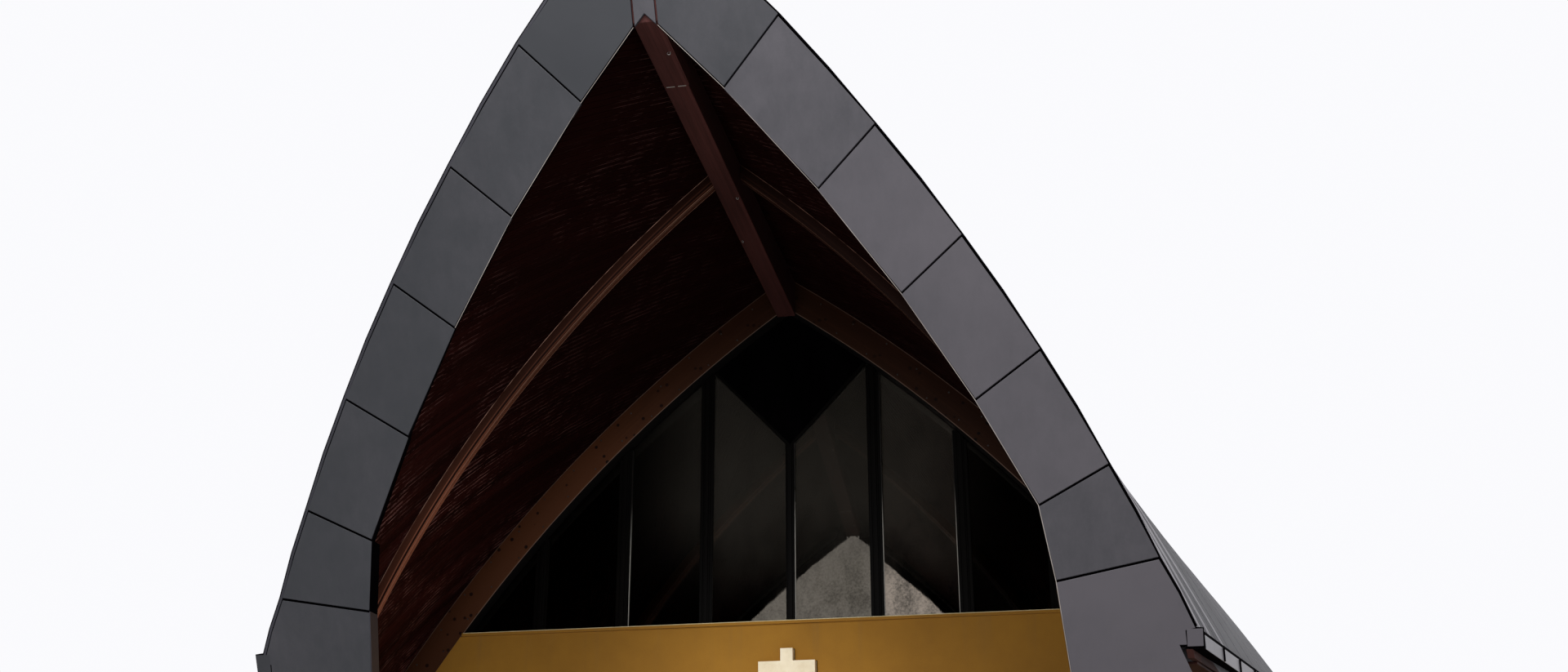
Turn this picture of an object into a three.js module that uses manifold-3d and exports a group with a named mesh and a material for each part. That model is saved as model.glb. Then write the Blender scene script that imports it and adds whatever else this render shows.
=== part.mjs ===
// A modern church: a leaning pointed-arch porch in front of a glazed gable, with a vaulted nave behind it.
// Millimetres, X to the right, Y into the building, Z up. The lengthwise zero is the face of the mullions,
// and the whole group is moved at the end so that its origin is the middle of its footprint.
import * as THREE from 'three';
import Module from 'manifold-3d';
import { mergeVertices } from 'three/addons/utils/BufferGeometryUtils.js';

const wasm = await Module();
wasm.setup();

// Pointed arches: each half is one circle, its centre beyond the axis and below the ground
const NAVE = { beyond: 12810, down: 7050, roof: 23200, buildUp: 450 };
const PORCH = { beyond: 16600, down: 5135, roof: 24183, buildUp: 640 };
const PORCH_INNER = { beyond: 12790, down: 2695, edge: 18819 };
const INNER_JOINTS = [27.37, 31.18, 35.2, 39.37, 43.73]; // degrees up the inner edge of the porch front
const INNER_LEG = [[4600, 0], [4139, 4435], [4060, 5180]];
const ARC_STEPS = 14;
const FIRST_STEP = 0.4; // extra share of a step above the eave

// Roof and gutters
const SOFFIT = 60;
const EAVE_TOP = 4600;
const EAVE_DEPTH = 255;
const GUTTER_WIDTH = 190;
const GUTTER_DEPTH = 150;
const GUTTER_SHEET = 15;
const CAP = 40;
const TRIM = 60;

// Timber arches, ribs and ridge beam
const BAY = 4300;
const BAYS = 4;
const ARCH_DEPTH = 460; // across its curve
const ARCH_FRONT = -220;
const ARCH_BACK = 130;
const RIB_Y = -4450; // half way along the porch
const RIB_HALF = 120;
const RIB_DEPTH = 150;
const RIB_FLANGE = 85;
const RIB_WEB = 60;
const RIDGE_HALF = 150;
const RIDGE_BOTTOM = 11040;

// Porch front
const FASCIA_DEPTH = 210;
const KEY_HALF = 135;
const LEG_INSET = 220;
const LEG_LEVELS = [0, 1500, 3000];

// Walls
const WALL_TOP = 5950;
const WALL_FRONT = -250;
const WALL_BACK = 150;
const SIDE_WALL_IN = 6150;
const SIDE_WALL_OUT = 6400;
const SILL = 50;
const SILL_REACH = 40;

// Entrance
const DOOR_HALF = 950;
const DOOR_HEIGHT = 2450;
const DOOR_RECESS = 120;
const DOOR_FRAME = 80;
const DOOR_FRAME_DEPTH = 120;
const LEAF = 60;
const LEAF_RECESS = 30;
const LEAF_CLEAR = 4;
const LEAF_FOOT = 10;

// Gable infill
const MULLION_PITCH = 1360;
const MULLION_HALF = 55;
const MULLION_DEPTH = 120;
const SIDE_MULLIONS = 3;
const GLASS = 30;
const VENT_HALF = 1250; // the dark kite-shaped panel under the apex
const VENT_BOTTOM = 8900;
const VENT_FRONT = 60;
const VENT_EASE = 2;
const REAR_RAIL = 100;

// Cross on the wall
const CROSS_BAR = 190;
const CROSS_HALF = 435;
const CROSS_TOP = 5550;
const CROSS_BOTTOM = 4330;
const CROSS_DEPTH = 160;

// Clearances
const GAP = 0.4; // between neighbouring pieces
const EASE = 1; // where a straight end meets an arch
const MERGE = 0.001;

const EAVE_BOTTOM = EAVE_TOP - EAVE_DEPTH;
const naveSoffit = NAVE.roof - NAVE.buildUp;
const naveIntrados = naveSoffit - ARCH_DEPTH;
const porchSoffit = PORCH.roof - PORCH.buildUp;
const gable = ARCH_FRONT - GAP;
const rearFront = ARCH_FRONT + BAYS * BAY;
const rearFace = rearFront + ARCH_BACK - ARCH_FRONT;

// The front face of the porch leans outward as it rises
const porchFace = (z) => -3443 - 0.4916 * z;
const fasciaBack = (z) => porchFace(z) + FASCIA_DEPTH;
const porchBack = (z) => fasciaBack(z) + GAP;

const xAt = (arc, r, z) => -arc.beyond + Math.sqrt(r * r - (z + arc.down) ** 2);
const zAt = (arc, r, x) => -arc.down + Math.sqrt(r * r - (x + arc.beyond) ** 2);

// Stations up one half of an arch: two level cuts at the eave, equal turns, the ridge beam's side, the axis
function stations(arc, r, top = GAP) {
  const low = Math.asin((EAVE_TOP + arc.down) / arc.roof);
  const high = Math.acos((arc.beyond + RIDGE_HALF) / (arc.roof - arc.buildUp));
  const list = [[xAt(arc, r, EAVE_BOTTOM), EAVE_BOTTOM], [xAt(arc, r, EAVE_TOP), EAVE_TOP]];
  for (let i = 1; i < ARC_STEPS; i += 1) {
    const turn = low + ((high - low) * (i + FIRST_STEP)) / (ARC_STEPS + FIRST_STEP);
    list.push([-arc.beyond + r * Math.cos(turn), -arc.down + r * Math.sin(turn)]);
  }
  list.push([RIDGE_HALF + GAP, zAt(arc, r, RIDGE_HALF + GAP)]);
  if (top < RIDGE_HALF) {
    list.push([top, zAt(arc, r, top)]);
  }
  return list;
}

// The eave's own edge is upright, so the lowest station of a roof skin stands under the one above it
function skinStations(arc) {
  const list = stations(arc, arc.roof);
  list[0] = [list[1][0], EAVE_BOTTOM];
  return list;
}

const mirror = (points) => points.map(([x, z]) => [-x, z]).reverse();
const trimmed = (chain, by) => chain.map(([x, z]) => [x - by, z]);

// Height of a chain of stations at a distance from the axis, and its distance at a height
function chainZ(chain, x) {
  const i = chain.findIndex(([far]) => far <= x);
  const [[x0, z0], [x1, z1]] = [chain[i - 1], chain[i]];
  return z0 + ((z1 - z0) * (x0 - x)) / (x0 - x1);
}

function chainX(chain, z) {
  const i = chain.findIndex(([, high]) => high > z);
  const [[x0, z0], [x1, z1]] = [chain[i - 1], chain[i]];
  return x0 + ((x1 - x0) * (z - z0)) / (z1 - z0);
}

// Closed geometry from points and triangles, turned inside out where its volume is negative
function closed(points, triangles) {
  let volume = 0;
  for (const [a, b, c] of triangles) {
    const [p, q, r] = [points[a], points[b], points[c]].map((v) => new THREE.Vector3(...v));
    volume += p.dot(q.cross(r));
  }
  const index = volume < 0 ? triangles.map(([a, b, c]) => [a, c, b]) : triangles;
  const geometry = new THREE.BufferGeometry();
  geometry.setAttribute('position', new THREE.Float32BufferAttribute(points.flat(), 3));
  geometry.setIndex(index.flat());
  return geometry;
}

// A flat outline in X and Z, pushed from a front surface to a back one
function prism(outline, front, back) {
  const flat = outline.map(([x, z]) => new THREE.Vector2(x, z));
  const faces = THREE.ShapeUtils.triangulateShape(flat, []);
  const n = outline.length;
  const at = (y) => outline.map(([x, z]) => [x, typeof y === 'function' ? y(z) : y, z]);
  const triangles = [];
  for (const [a, b, c] of faces) {
    triangles.push([a, b, c], [a + n, c + n, b + n]);
  }
  const turn = THREE.ShapeUtils.area(flat) > 0;
  for (let i = 0; i < n; i += 1) {
    const j = (i + 1) % n;
    triangles.push(turn ? [i, n + i, n + j] : [i, n + j, n + i]);
    triangles.push(turn ? [i, n + j, j] : [i, j, n + j]);
  }
  return closed([...at(front), ...at(back)], triangles);
}

// A shell between two grids of points with the same rows and columns
function shell(outer, inner) {
  const rows = outer.length;
  const columns = outer[0].length;
  const points = [...outer.flat(), ...inner.flat()];
  const o = (i, j) => i * columns + j;
  const n = (i, j) => rows * columns + i * columns + j;
  const triangles = [];
  const quad = (a, b, c, d) => triangles.push([a, b, c], [a, c, d]);
  for (let i = 0; i < rows - 1; i += 1) {
    for (let j = 0; j < columns - 1; j += 1) {
      quad(o(i, j), o(i, j + 1), o(i + 1, j + 1), o(i + 1, j));
      triangles.push([n(i, j), n(i + 1, j + 1), n(i, j + 1)], [n(i, j), n(i + 1, j), n(i + 1, j + 1)]);
    }
    quad(o(i, 0), o(i + 1, 0), n(i + 1, 0), n(i, 0));
    const e = columns - 1;
    quad(o(i + 1, e), o(i, e), n(i, e), n(i + 1, e));
  }
  for (let j = 0; j < columns - 1; j += 1) {
    const e = rows - 1;
    quad(o(0, j + 1), o(0, j), n(0, j), n(0, j + 1));
    quad(o(e, j), o(e, j + 1), n(e, j + 1), n(e, j));
  }
  return closed(points, triangles);
}

// A section carried through a row of rings, its ends closed; the two halves of a section split their faces alike
function sweep(rings, outline) {
  const n = outline.length;
  const flat = outline.map(([x, y]) => new THREE.Vector2(x, y));
  const faces = THREE.ShapeUtils.triangulateShape(flat, []);
  const last = (rings.length - 1) * n;
  const turn = THREE.ShapeUtils.area(flat) > 0;
  const triangles = [];
  for (const [a, b, c] of faces) {
    triangles.push([a, b, c], [a + last, c + last, b + last]);
  }
  for (let r = 0; r < rings.length - 1; r += 1) {
    for (let i = 0; i < n; i += 1) {
      const j = (i + 1) % n;
      const [a, b, c, d] = [r * n + i, (r + 1) * n + i, (r + 1) * n + j, r * n + j];
      const leftHalf = outline[i][0] + outline[j][0] < 0;
      const pair = leftHalf ? [[a, b, d], [b, c, d]] : [[a, b, c], [a, c, d]];
      triangles.push(...pair.map(([p, q, v]) => (turn ? [p, q, v] : [p, v, q])));
    }
  }
  return closed(rings.flat(), triangles);
}

function box(x0, x1, y0, y1, z0, z1) {
  return prism([[x0, z0], [x1, z0], [x1, z1], [x0, z1]], y0, y1);
}

function solid(geometry) {
  const bare = geometry.clone();
  bare.deleteAttribute('normal');
  bare.deleteAttribute('uv');
  const merged = mergeVertices(bare, MERGE);
  const mesh = new wasm.Mesh({
    numProp: 3,
    vertProperties: new Float32Array(merged.attributes.position.array),
    triVerts: new Uint32Array(merged.index.array),
  });
  return new wasm.Manifold(mesh);
}

function geometryOf(manifold) {
  const mesh = manifold.getMesh();
  const geometry = new THREE.BufferGeometry();
  geometry.setAttribute('position', new THREE.Float32BufferAttribute(mesh.vertProperties, 3));
  geometry.setIndex([...mesh.triVerts]);
  return geometry;
}

const finish = (color, roughness, metalness) => new THREE.MeshStandardMaterial({ color, roughness, metalness });
const cladding = finish(0x565559, 0.45, 0.6);
const roofing = finish(0x6a6d70, 0.5, 0.6);
const boards = finish(0x43261f, 0.7, 0);
const timber = finish(0x8a5a38, 0.6, 0);
const darkTimber = finish(0x2b2420, 0.6, 0.2);
const render = finish(0x9a7230, 0.9, 0);
const glass = finish(0x20231f, 0.08, 0);
const pale = finish(0xcfc4a4, 0.8, 0);

const building = new THREE.Group();
const add = (name, geometry, material) => {
  const mesh = new THREE.Mesh(geometry, material);
  mesh.name = name;
  building.add(mesh);
};
const flip = (grid, side) => grid.map((row) => row.map(([x, y, z]) => [side * x, y, z]));
const bothSides = [['left', -1], ['right', 1]];
const porchSkin = skinStations(PORCH);
const naveSkin = skinStations(NAVE);

// Gutters: open channels on a solid board along the eaves, their front ends flush with the porch front
const channel = [
  [0, -EAVE_DEPTH], [GUTTER_WIDTH, -EAVE_DEPTH], [GUTTER_WIDTH, 0], [GUTTER_WIDTH - GUTTER_SHEET, 0],
  [GUTTER_WIDTH - GUTTER_SHEET, -GUTTER_DEPTH], [GUTTER_SHEET, -GUTTER_DEPTH], [GUTTER_SHEET, 0], [0, 0],
];
const eaveFront = [porchSkin[1][0], porchBack(EAVE_TOP)];
const eaveGable = [naveSkin[1][0], gable];
const eaveSlope = (eaveGable[0] - eaveFront[0]) / (eaveGable[1] - eaveFront[1]);
const eaveLine = (y) => eaveFront[0] + (y - eaveFront[1]) * eaveSlope;
for (const [side, s] of bothSides) {
  const ring = (y) => channel.map(([dx, dz]) => {
    const depth = typeof y === 'function' ? y(EAVE_TOP + dz) : y;
    return [s * (eaveLine(Math.min(depth, gable)) + GAP + dx), depth, EAVE_TOP + dz];
  });
  add(`porch_gutter_${side}`, sweep([ring(porchFace), ring(gable)], channel), roofing);
  add(`nave_gutter_${side}`, sweep([ring(ARCH_FRONT), ring(rearFace)], channel), roofing);
}

// Porch front: a clad arch whose legs run down to the ground, with a narrow key piece at the apex
const innerEdge = (x) => zAt(PORCH_INNER, PORCH_INNER.edge, x);
const roofEdge = (x) => zAt(PORCH, PORCH.roof, x);
const innerJoints = INNER_JOINTS.map((degrees) => {
  const turn = THREE.MathUtils.degToRad(degrees);
  const [across, up] = [PORCH_INNER.edge * Math.cos(turn), PORCH_INNER.edge * Math.sin(turn)];
  return [across - PORCH_INNER.beyond, up - PORCH_INNER.down];
});
const legOuter = [...LEG_LEVELS, EAVE_BOTTOM].map((z) => [xAt(PORCH, PORCH.roof - LEG_INSET, z), z]);
const besideGutter = eaveLine(porchFace(EAVE_TOP));
const aboveGutter = EAVE_TOP + GAP;
const fascia = [
  ...legOuter, [besideGutter, EAVE_BOTTOM], [besideGutter, aboveGutter],
  [xAt(PORCH, PORCH.roof, aboveGutter), aboveGutter], ...porchSkin.slice(2).filter(([x]) => x > KEY_HALF),
  [KEY_HALF, roofEdge(KEY_HALF)], [KEY_HALF, innerEdge(KEY_HALF)],
  ...[...INNER_LEG, ...innerJoints].reverse(),
];
for (const [side, s] of bothSides) {
  add(`front_arch_${side}`, prism(s > 0 ? fascia : mirror(fascia), porchFace, fasciaBack), cladding);
}
const keySide = KEY_HALF - GAP;
const key = [
  [-keySide, innerEdge(keySide)], [0, innerEdge(0)], [keySide, innerEdge(keySide)],
  [keySide, roofEdge(keySide)], [0, roofEdge(0)], [-keySide, roofEdge(keySide)],
];
add('front_arch_key', prism(key, porchFace, fasciaBack), cladding);

// Porch roof and soffit: straight lines from the leaning arch back to the gable, with rows along the slope
const ribFaces = [RIB_Y - RIB_HALF, RIB_Y + RIB_HALF];
function porchGrid(front, back) {
  return front.map(([x0, z0], i) => {
    const [x1, z1] = back[i];
    const y0 = porchBack(z0);
    const along = (y) => {
      const t = (y - y0) / (gable - y0);
      return [x0 + (x1 - x0) * t, y, z0 + (z1 - z0) * t];
    };
    return [[x0, y0, z0], ...ribFaces.map(along), [x1, gable, z1]];
  });
}

const porchLayer = (r, top) => stations(PORCH, porchSoffit + r, top);
const naveLayer = (r, top) => stations(NAVE, naveSoffit + r, top);
const layerGrid = (r, top) => porchGrid(porchLayer(r, top), naveLayer(r, top));
const roofOuter = porchGrid(porchSkin, naveSkin);
const roofInner = layerGrid(SOFFIT + GAP);
const soffitOuter = layerGrid(SOFFIT, RIDGE_HALF);
const soffitInner = layerGrid(0, RIDGE_HALF);
for (const [side, s] of bothSides) {
  add(`porch_roof_${side}`, shell(flip(roofOuter, s), flip(roofInner, s)), roofing);
  add(`porch_soffit_${side}`, shell(flip(soffitOuter, s), flip(soffitInner, s)), boards);
}

// Rib: two timber flanges under a web, tight against the soffit boards and cut upright at the ridge beam
const flangeShare = RIB_FLANGE / (2 * RIB_HALF);
const ribSection = [
  [0, 0], [1, 0], [1, RIB_DEPTH], [1 - flangeShare, RIB_DEPTH], [1 - flangeShare, RIB_WEB],
  [flangeShare, RIB_WEB], [flangeShare, RIB_DEPTH], [0, RIB_DEPTH],
];
function ribRing([, a, b], row, rows) {
  const reach = Math.hypot(a[0] + NAVE.beyond, a[2] + NAVE.down);
  const [across, up] = [(a[0] + NAVE.beyond) / reach, (a[2] + NAVE.down) / reach];
  const inward = row < rows.length - 1 ? [-across, -up] : [0, -1 / up];
  return ribSection.map(([t, depth]) => {
    const p = [0, 1, 2].map((k) => a[k] + (b[k] - a[k]) * t);
    return [p[0] + inward[0] * (depth + GAP), p[1], p[2] + inward[1] * (depth + GAP)];
  });
}
const ribOutline = ribSection.map(([t, depth]) => [t * 2 * RIB_HALF, depth]);
for (const [side, s] of bothSides) {
  const rings = flip(soffitInner.slice(1).map(ribRing), s);
  add(`porch_rib_${side}`, sweep(rings, ribOutline), timber);
}

// Ridge beam: its top follows the underside of the roof, its front end the lean of the porch
const [beamEdge, beamCrown] = roofInner.slice(-2);
const beamRings = beamEdge.map((e, j) => {
  const foot = j === 0 ? porchBack(RIDGE_BOTTOM) : e[1];
  return [
    [-RIDGE_HALF, foot, RIDGE_BOTTOM], [RIDGE_HALF, foot, RIDGE_BOTTOM], [RIDGE_HALF, e[1], e[2] - GAP],
    [0, beamCrown[j][1], beamCrown[j][2] - GAP], [-RIDGE_HALF, e[1], e[2] - GAP],
  ];
});
add('porch_ridge_beam', sweep(beamRings, [[-1, 0], [1, 0], [1, 4], [0, 5], [-1, 4]]), boards);

// Timber arches: one in the front gable and the same one repeated along the nave
const archSide = (r) => [...LEG_LEVELS.map((z) => [xAt(NAVE, r, z), z]), ...stations(NAVE, r).slice(0, -1)];
const crown = zAt(NAVE, naveIntrados, 0);
function arch(grow) {
  const outer = trimmed(archSide(naveSoffit), GAP - grow);
  const inner = trimmed(archSide(naveIntrados), grow);
  const top = [0, zAt(NAVE, naveSoffit, 0) - GAP];
  return [...outer, top, ...mirror(outer), ...mirror(inner).reverse(), [0, crown], ...inner.reverse()];
}
for (let i = 0; i <= BAYS; i += 1) {
  const name = i === 0 ? 'main_arch' : `nave_arch_${i}`;
  const front = ARCH_FRONT + i * BAY;
  add(i < BAYS ? name : 'rear_arch', prism(arch(0), front, front + ARCH_BACK - ARCH_FRONT), timber);
}

// Nave roof and soffit
const naveGrid = (chain, side) => chain.map(([x, z]) => [[side * x, ARCH_FRONT, z], [side * x, rearFace, z]]);
for (const [side, s] of bothSides) {
  const skin = shell(naveGrid(naveSkin, s), naveGrid(naveLayer(SOFFIT + GAP), s));
  add(`nave_roof_${side}`, skin, roofing);
  add(`nave_soffit_${side}`, shell(naveGrid(naveLayer(SOFFIT), s), naveGrid(naveLayer(0), s)), boards);
}

// Ridge cap: a folded strip over the top of the roof
const [capEdge, capCrown] = roofOuter.slice(-2);
capEdge.push([capEdge[0][0], rearFace, naveSkin.at(-2)[1]]);
capCrown.push([capCrown[0][0], rearFace, naveSkin.at(-1)[1]]);
const capRings = capEdge.map((e, j) => {
  const c = capCrown[j];
  return [
    [-RIDGE_HALF, e[1], e[2] + GAP], [0, c[1], c[2] + GAP], [RIDGE_HALF, e[1], e[2] + GAP],
    [RIDGE_HALF, e[1], e[2] + CAP], [0, c[1], c[2] + CAP], [-RIDGE_HALF, e[1], e[2] + CAP],
  ];
});
add('ridge_cap', sweep(capRings, [[-1, 0], [0, 1], [1, 0], [1, 1], [0, 2], [-1, 1]]), roofing);

// Gable infill: everything in a gable stays inside this half of the arch's opening
const opening = [...trimmed(archSide(naveIntrados), GAP), [0, crown - EASE]];
const wallSide = [...opening.filter(([, z]) => z < WALL_TOP), [chainX(opening, WALL_TOP), WALL_TOP]];
const frontWall = [[DOOR_HALF, 0], ...wallSide, [DOOR_HALF, WALL_TOP]];
for (const [side, s] of bothSides) {
  const outline = s > 0 ? frontWall : mirror(frontWall);
  add(`front_wall_${side}`, prism(outline, WALL_FRONT, WALL_BACK), render);
}
const frameOut = DOOR_HALF - GAP;
add('front_wall_over_door', box(-frameOut, frameOut, WALL_FRONT, WALL_BACK, DOOR_HEIGHT, WALL_TOP), render);

const frameIn = frameOut - DOOR_FRAME;
const frameTop = DOOR_HEIGHT - GAP;
const headBottom = frameTop - DOOR_FRAME;
const doorFrame = [
  [-frameOut, 0], [-frameIn, 0], [-frameIn, headBottom], [frameIn, headBottom],
  [frameIn, 0], [frameOut, 0], [frameOut, frameTop], [-frameOut, frameTop],
];
const doorFront = WALL_FRONT + DOOR_RECESS;
const leafFront = doorFront + LEAF_RECESS;
add('door_frame', prism(doorFrame, doorFront, doorFront + DOOR_FRAME_DEPTH), darkTimber);
for (const [side, s] of bothSides) {
  const edges = [s * LEAF_CLEAR, s * (frameIn - GAP)].sort((a, b) => a - b);
  const leaf = box(...edges, leafFront, leafFront + LEAF, LEAF_FOOT, headBottom - LEAF_CLEAR);
  add(`door_leaf_${side}`, leaf, darkTimber);
}

const sillEnd = chainX(opening, WALL_TOP + SILL) - GAP;
const sillFront = WALL_FRONT - SILL_REACH;
add('sill', box(-sillEnd, sillEnd, sillFront, -GAP, WALL_TOP + GAP, WALL_TOP + SILL), pale);

function mullionOutline(i, bottom, middleTop) {
  const [near, far] = [-MULLION_HALF, MULLION_HALF].map((x) => Math.abs(i) * MULLION_PITCH + x);
  const top = (x) => (i === 0 ? middleTop : chainZ(opening, x) - EASE);
  const outline = [[near, bottom], [far, bottom], [far, top(far)], [near, top(near)]];
  return i < 0 ? mirror(outline) : outline;
}
const glassBottom = WALL_TOP + GAP;
for (let i = -SIDE_MULLIONS; i <= SIDE_MULLIONS; i += 1) {
  const outline = mullionOutline(i, glassBottom, VENT_BOTTOM - EASE);
  add(`mullion_${i + SIDE_MULLIONS + 1}`, prism(outline, 0, MULLION_DEPTH), darkTimber);
}

// The glass runs up to the arch and is notched by the kite-shaped panel
const ventTop = chainZ(opening, VENT_HALF);
const aboveSill = opening.filter(([, z]) => z > glassBottom);
const glassFoot = [chainX(opening, glassBottom), glassBottom];
const glassSide = [glassFoot, ...aboveSill.filter(([x]) => x > VENT_HALF), [VENT_HALF, ventTop]];
const glassFront = MULLION_DEPTH + GAP;
const glassBack = glassFront + GLASS - EASE;
add('glazing', prism([...glassSide, [0, VENT_BOTTOM], ...mirror(glassSide)], glassFront, glassBack), glass);
const ventCorner = VENT_HALF - VENT_EASE;
const ventSide = [[ventCorner, chainZ(opening, ventCorner)], ...opening.filter(([x]) => x > 0 && x < ventCorner)];
const ventFoot = VENT_BOTTOM + (VENT_EASE * (ventTop - VENT_BOTTOM)) / VENT_HALF;
const vent = [[0, ventFoot], ...ventSide, opening.at(-1), ...mirror(ventSide)];
add('vent_panel', prism(vent, VENT_FRONT, glassBack), darkTimber);

// Cross on the wall above the doorway
const arm = CROSS_BAR / 2;
const barTop = CROSS_TOP - CROSS_BAR;
const barBottom = barTop - CROSS_BAR;
const cross = [
  [-arm, CROSS_BOTTOM], [arm, CROSS_BOTTOM], [arm, barBottom], [CROSS_HALF, barBottom], [CROSS_HALF, barTop],
  [arm, barTop], [arm, CROSS_TOP], [-arm, CROSS_TOP], [-arm, barTop], [-CROSS_HALF, barTop],
  [-CROSS_HALF, barBottom], [-arm, barBottom],
];
add('cross', prism(cross, WALL_FRONT - CROSS_DEPTH, WALL_FRONT - GAP), pale);

// Side walls: upright under the vault, cut where the nave arches pass through them
const vault = trimmed(stations(NAVE, naveSoffit), GAP);
const sideWall = [
  [SIDE_WALL_IN, 0], [SIDE_WALL_OUT, 0], [SIDE_WALL_OUT, chainZ(vault, SIDE_WALL_OUT)],
  ...vault.filter(([x]) => x < SIDE_WALL_OUT && x > SIDE_WALL_IN), [SIDE_WALL_IN, chainZ(vault, SIDE_WALL_IN)],
];
for (const [side, s] of bothSides) {
  const outline = s > 0 ? sideWall : mirror(sideWall);
  let wall = solid(prism(outline, WALL_BACK + GAP, rearFront - GAP));
  for (let i = 1; i < BAYS; i += 1) {
    const front = ARCH_FRONT + i * BAY;
    wall = wall.subtract(solid(prism(arch(EASE), front - GAP, front + ARCH_BACK - ARCH_FRONT + GAP)));
  }
  add(`side_wall_${side}`, geometryOf(wall), render);
}

// Rear gable: the same storeys, a rendered wall below and glass with mullions above
add('rear_wall', prism([...wallSide, ...mirror(wallSide)], rearFront, rearFace), render);
const barsFront = rearFace - MULLION_DEPTH;
const rearGlass = [glassFoot, ...aboveSill, ...mirror([glassFoot, ...aboveSill.slice(0, -1)])];
add('rear_glazing', prism(rearGlass, barsFront - GLASS, barsFront - GAP), glass);
const railTop = WALL_TOP + REAR_RAIL;
const railHalf = chainX(opening, railTop) - GAP;
let bars = solid(box(-railHalf, railHalf, barsFront, rearFace, glassBottom, railTop));
for (let i = -SIDE_MULLIONS; i <= SIDE_MULLIONS; i += 1) {
  const outline = mullionOutline(i, WALL_TOP + REAR_RAIL / 2, chainZ(opening, MULLION_HALF) - EASE);
  bars = bars.add(solid(prism(outline, barsFront, rearFace)));
}
add('rear_mullions', geometryOf(bars), darkTimber);

// Trim that covers the rear edge of the roof
const trim = [...naveSkin, ...naveLayer(0).reverse()];
for (const [side, s] of bothSides) {
  add(`rear_trim_${side}`, prism(s > 0 ? trim : mirror(trim), rearFace + GAP, rearFace + TRIM), cladding);
}

// The origin is the middle of the footprint
const span = new THREE.Box3().setFromObject(building);
building.position.y = -(span.min.y + span.max.y) / 2;
const church = new THREE.Group();
church.add(building);

export default church;
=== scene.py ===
"""A modern church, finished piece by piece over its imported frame.

The porch front leans outward and carries grey panels. Behind it are boarded soffits, timber arches and a
glazed gable above an ochre wall. Lengths are metres, and depth zero is the front face of the mullions.
"""
from __future__ import annotations

import logging
import math
import random
from contextlib import contextmanager
from dataclasses import dataclass, replace
from enum import Enum
from functools import cache
from typing import Callable, Iterator, Mapping, Sequence

import bpy
from mathutils import Matrix, Vector


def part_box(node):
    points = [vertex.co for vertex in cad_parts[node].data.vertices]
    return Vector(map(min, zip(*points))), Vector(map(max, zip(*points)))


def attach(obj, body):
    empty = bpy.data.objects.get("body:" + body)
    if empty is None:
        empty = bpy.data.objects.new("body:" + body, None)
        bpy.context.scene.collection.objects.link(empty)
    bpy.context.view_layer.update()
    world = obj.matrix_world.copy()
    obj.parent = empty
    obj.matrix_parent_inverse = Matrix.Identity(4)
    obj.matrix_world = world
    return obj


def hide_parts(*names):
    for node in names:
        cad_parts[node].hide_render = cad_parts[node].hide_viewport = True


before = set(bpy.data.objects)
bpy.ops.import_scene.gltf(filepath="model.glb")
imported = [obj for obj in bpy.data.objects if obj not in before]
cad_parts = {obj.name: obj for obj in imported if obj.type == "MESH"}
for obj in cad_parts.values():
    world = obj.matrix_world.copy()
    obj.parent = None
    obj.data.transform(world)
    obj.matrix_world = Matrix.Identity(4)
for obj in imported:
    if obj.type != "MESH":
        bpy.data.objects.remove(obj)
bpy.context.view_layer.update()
log = logging.getLogger("church")
Colour = tuple[float, float, float, float]
Place = Callable[[float, float, float], Vector]
Face = bpy.types.MeshPolygon
Piece = bpy.types.Object
Point = tuple[float, float]
Triple = tuple[float, float, float]
NAVE_CENTRE = (12.81, 7.05)  # beyond the axis and below the ground
PORCH_CENTRE = (16.6, 5.135)
ARCH_INSIDE = 22.29  # radii of the timber arches' lower and upper faces
ARCH_OUTSIDE = 22.75
DIAGONAL = 0.7071
NEAR_BLACK = (0.004, 0.003, 0.003, 1.0)
DOUBLE = 0.00005  # points closer than this are one


class Side(Enum):
    """The two halves of the building, seen from the front."""

    LEFT = -1
    RIGHT = 1

    @property
    def word(self) -> str:
        """The side's name as the pieces carry it."""
        return self.name.lower()


class Grain(Enum):
    """What the grain of a timber follows."""

    FLAT = "the board's own length before it is laid"
    ARCH = "the curve of the nave arches"
    DEPTH = "the length of the building"
    UPRIGHT = "the height of the building"
    VAULT = "slanting boards on the nave vault"


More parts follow.
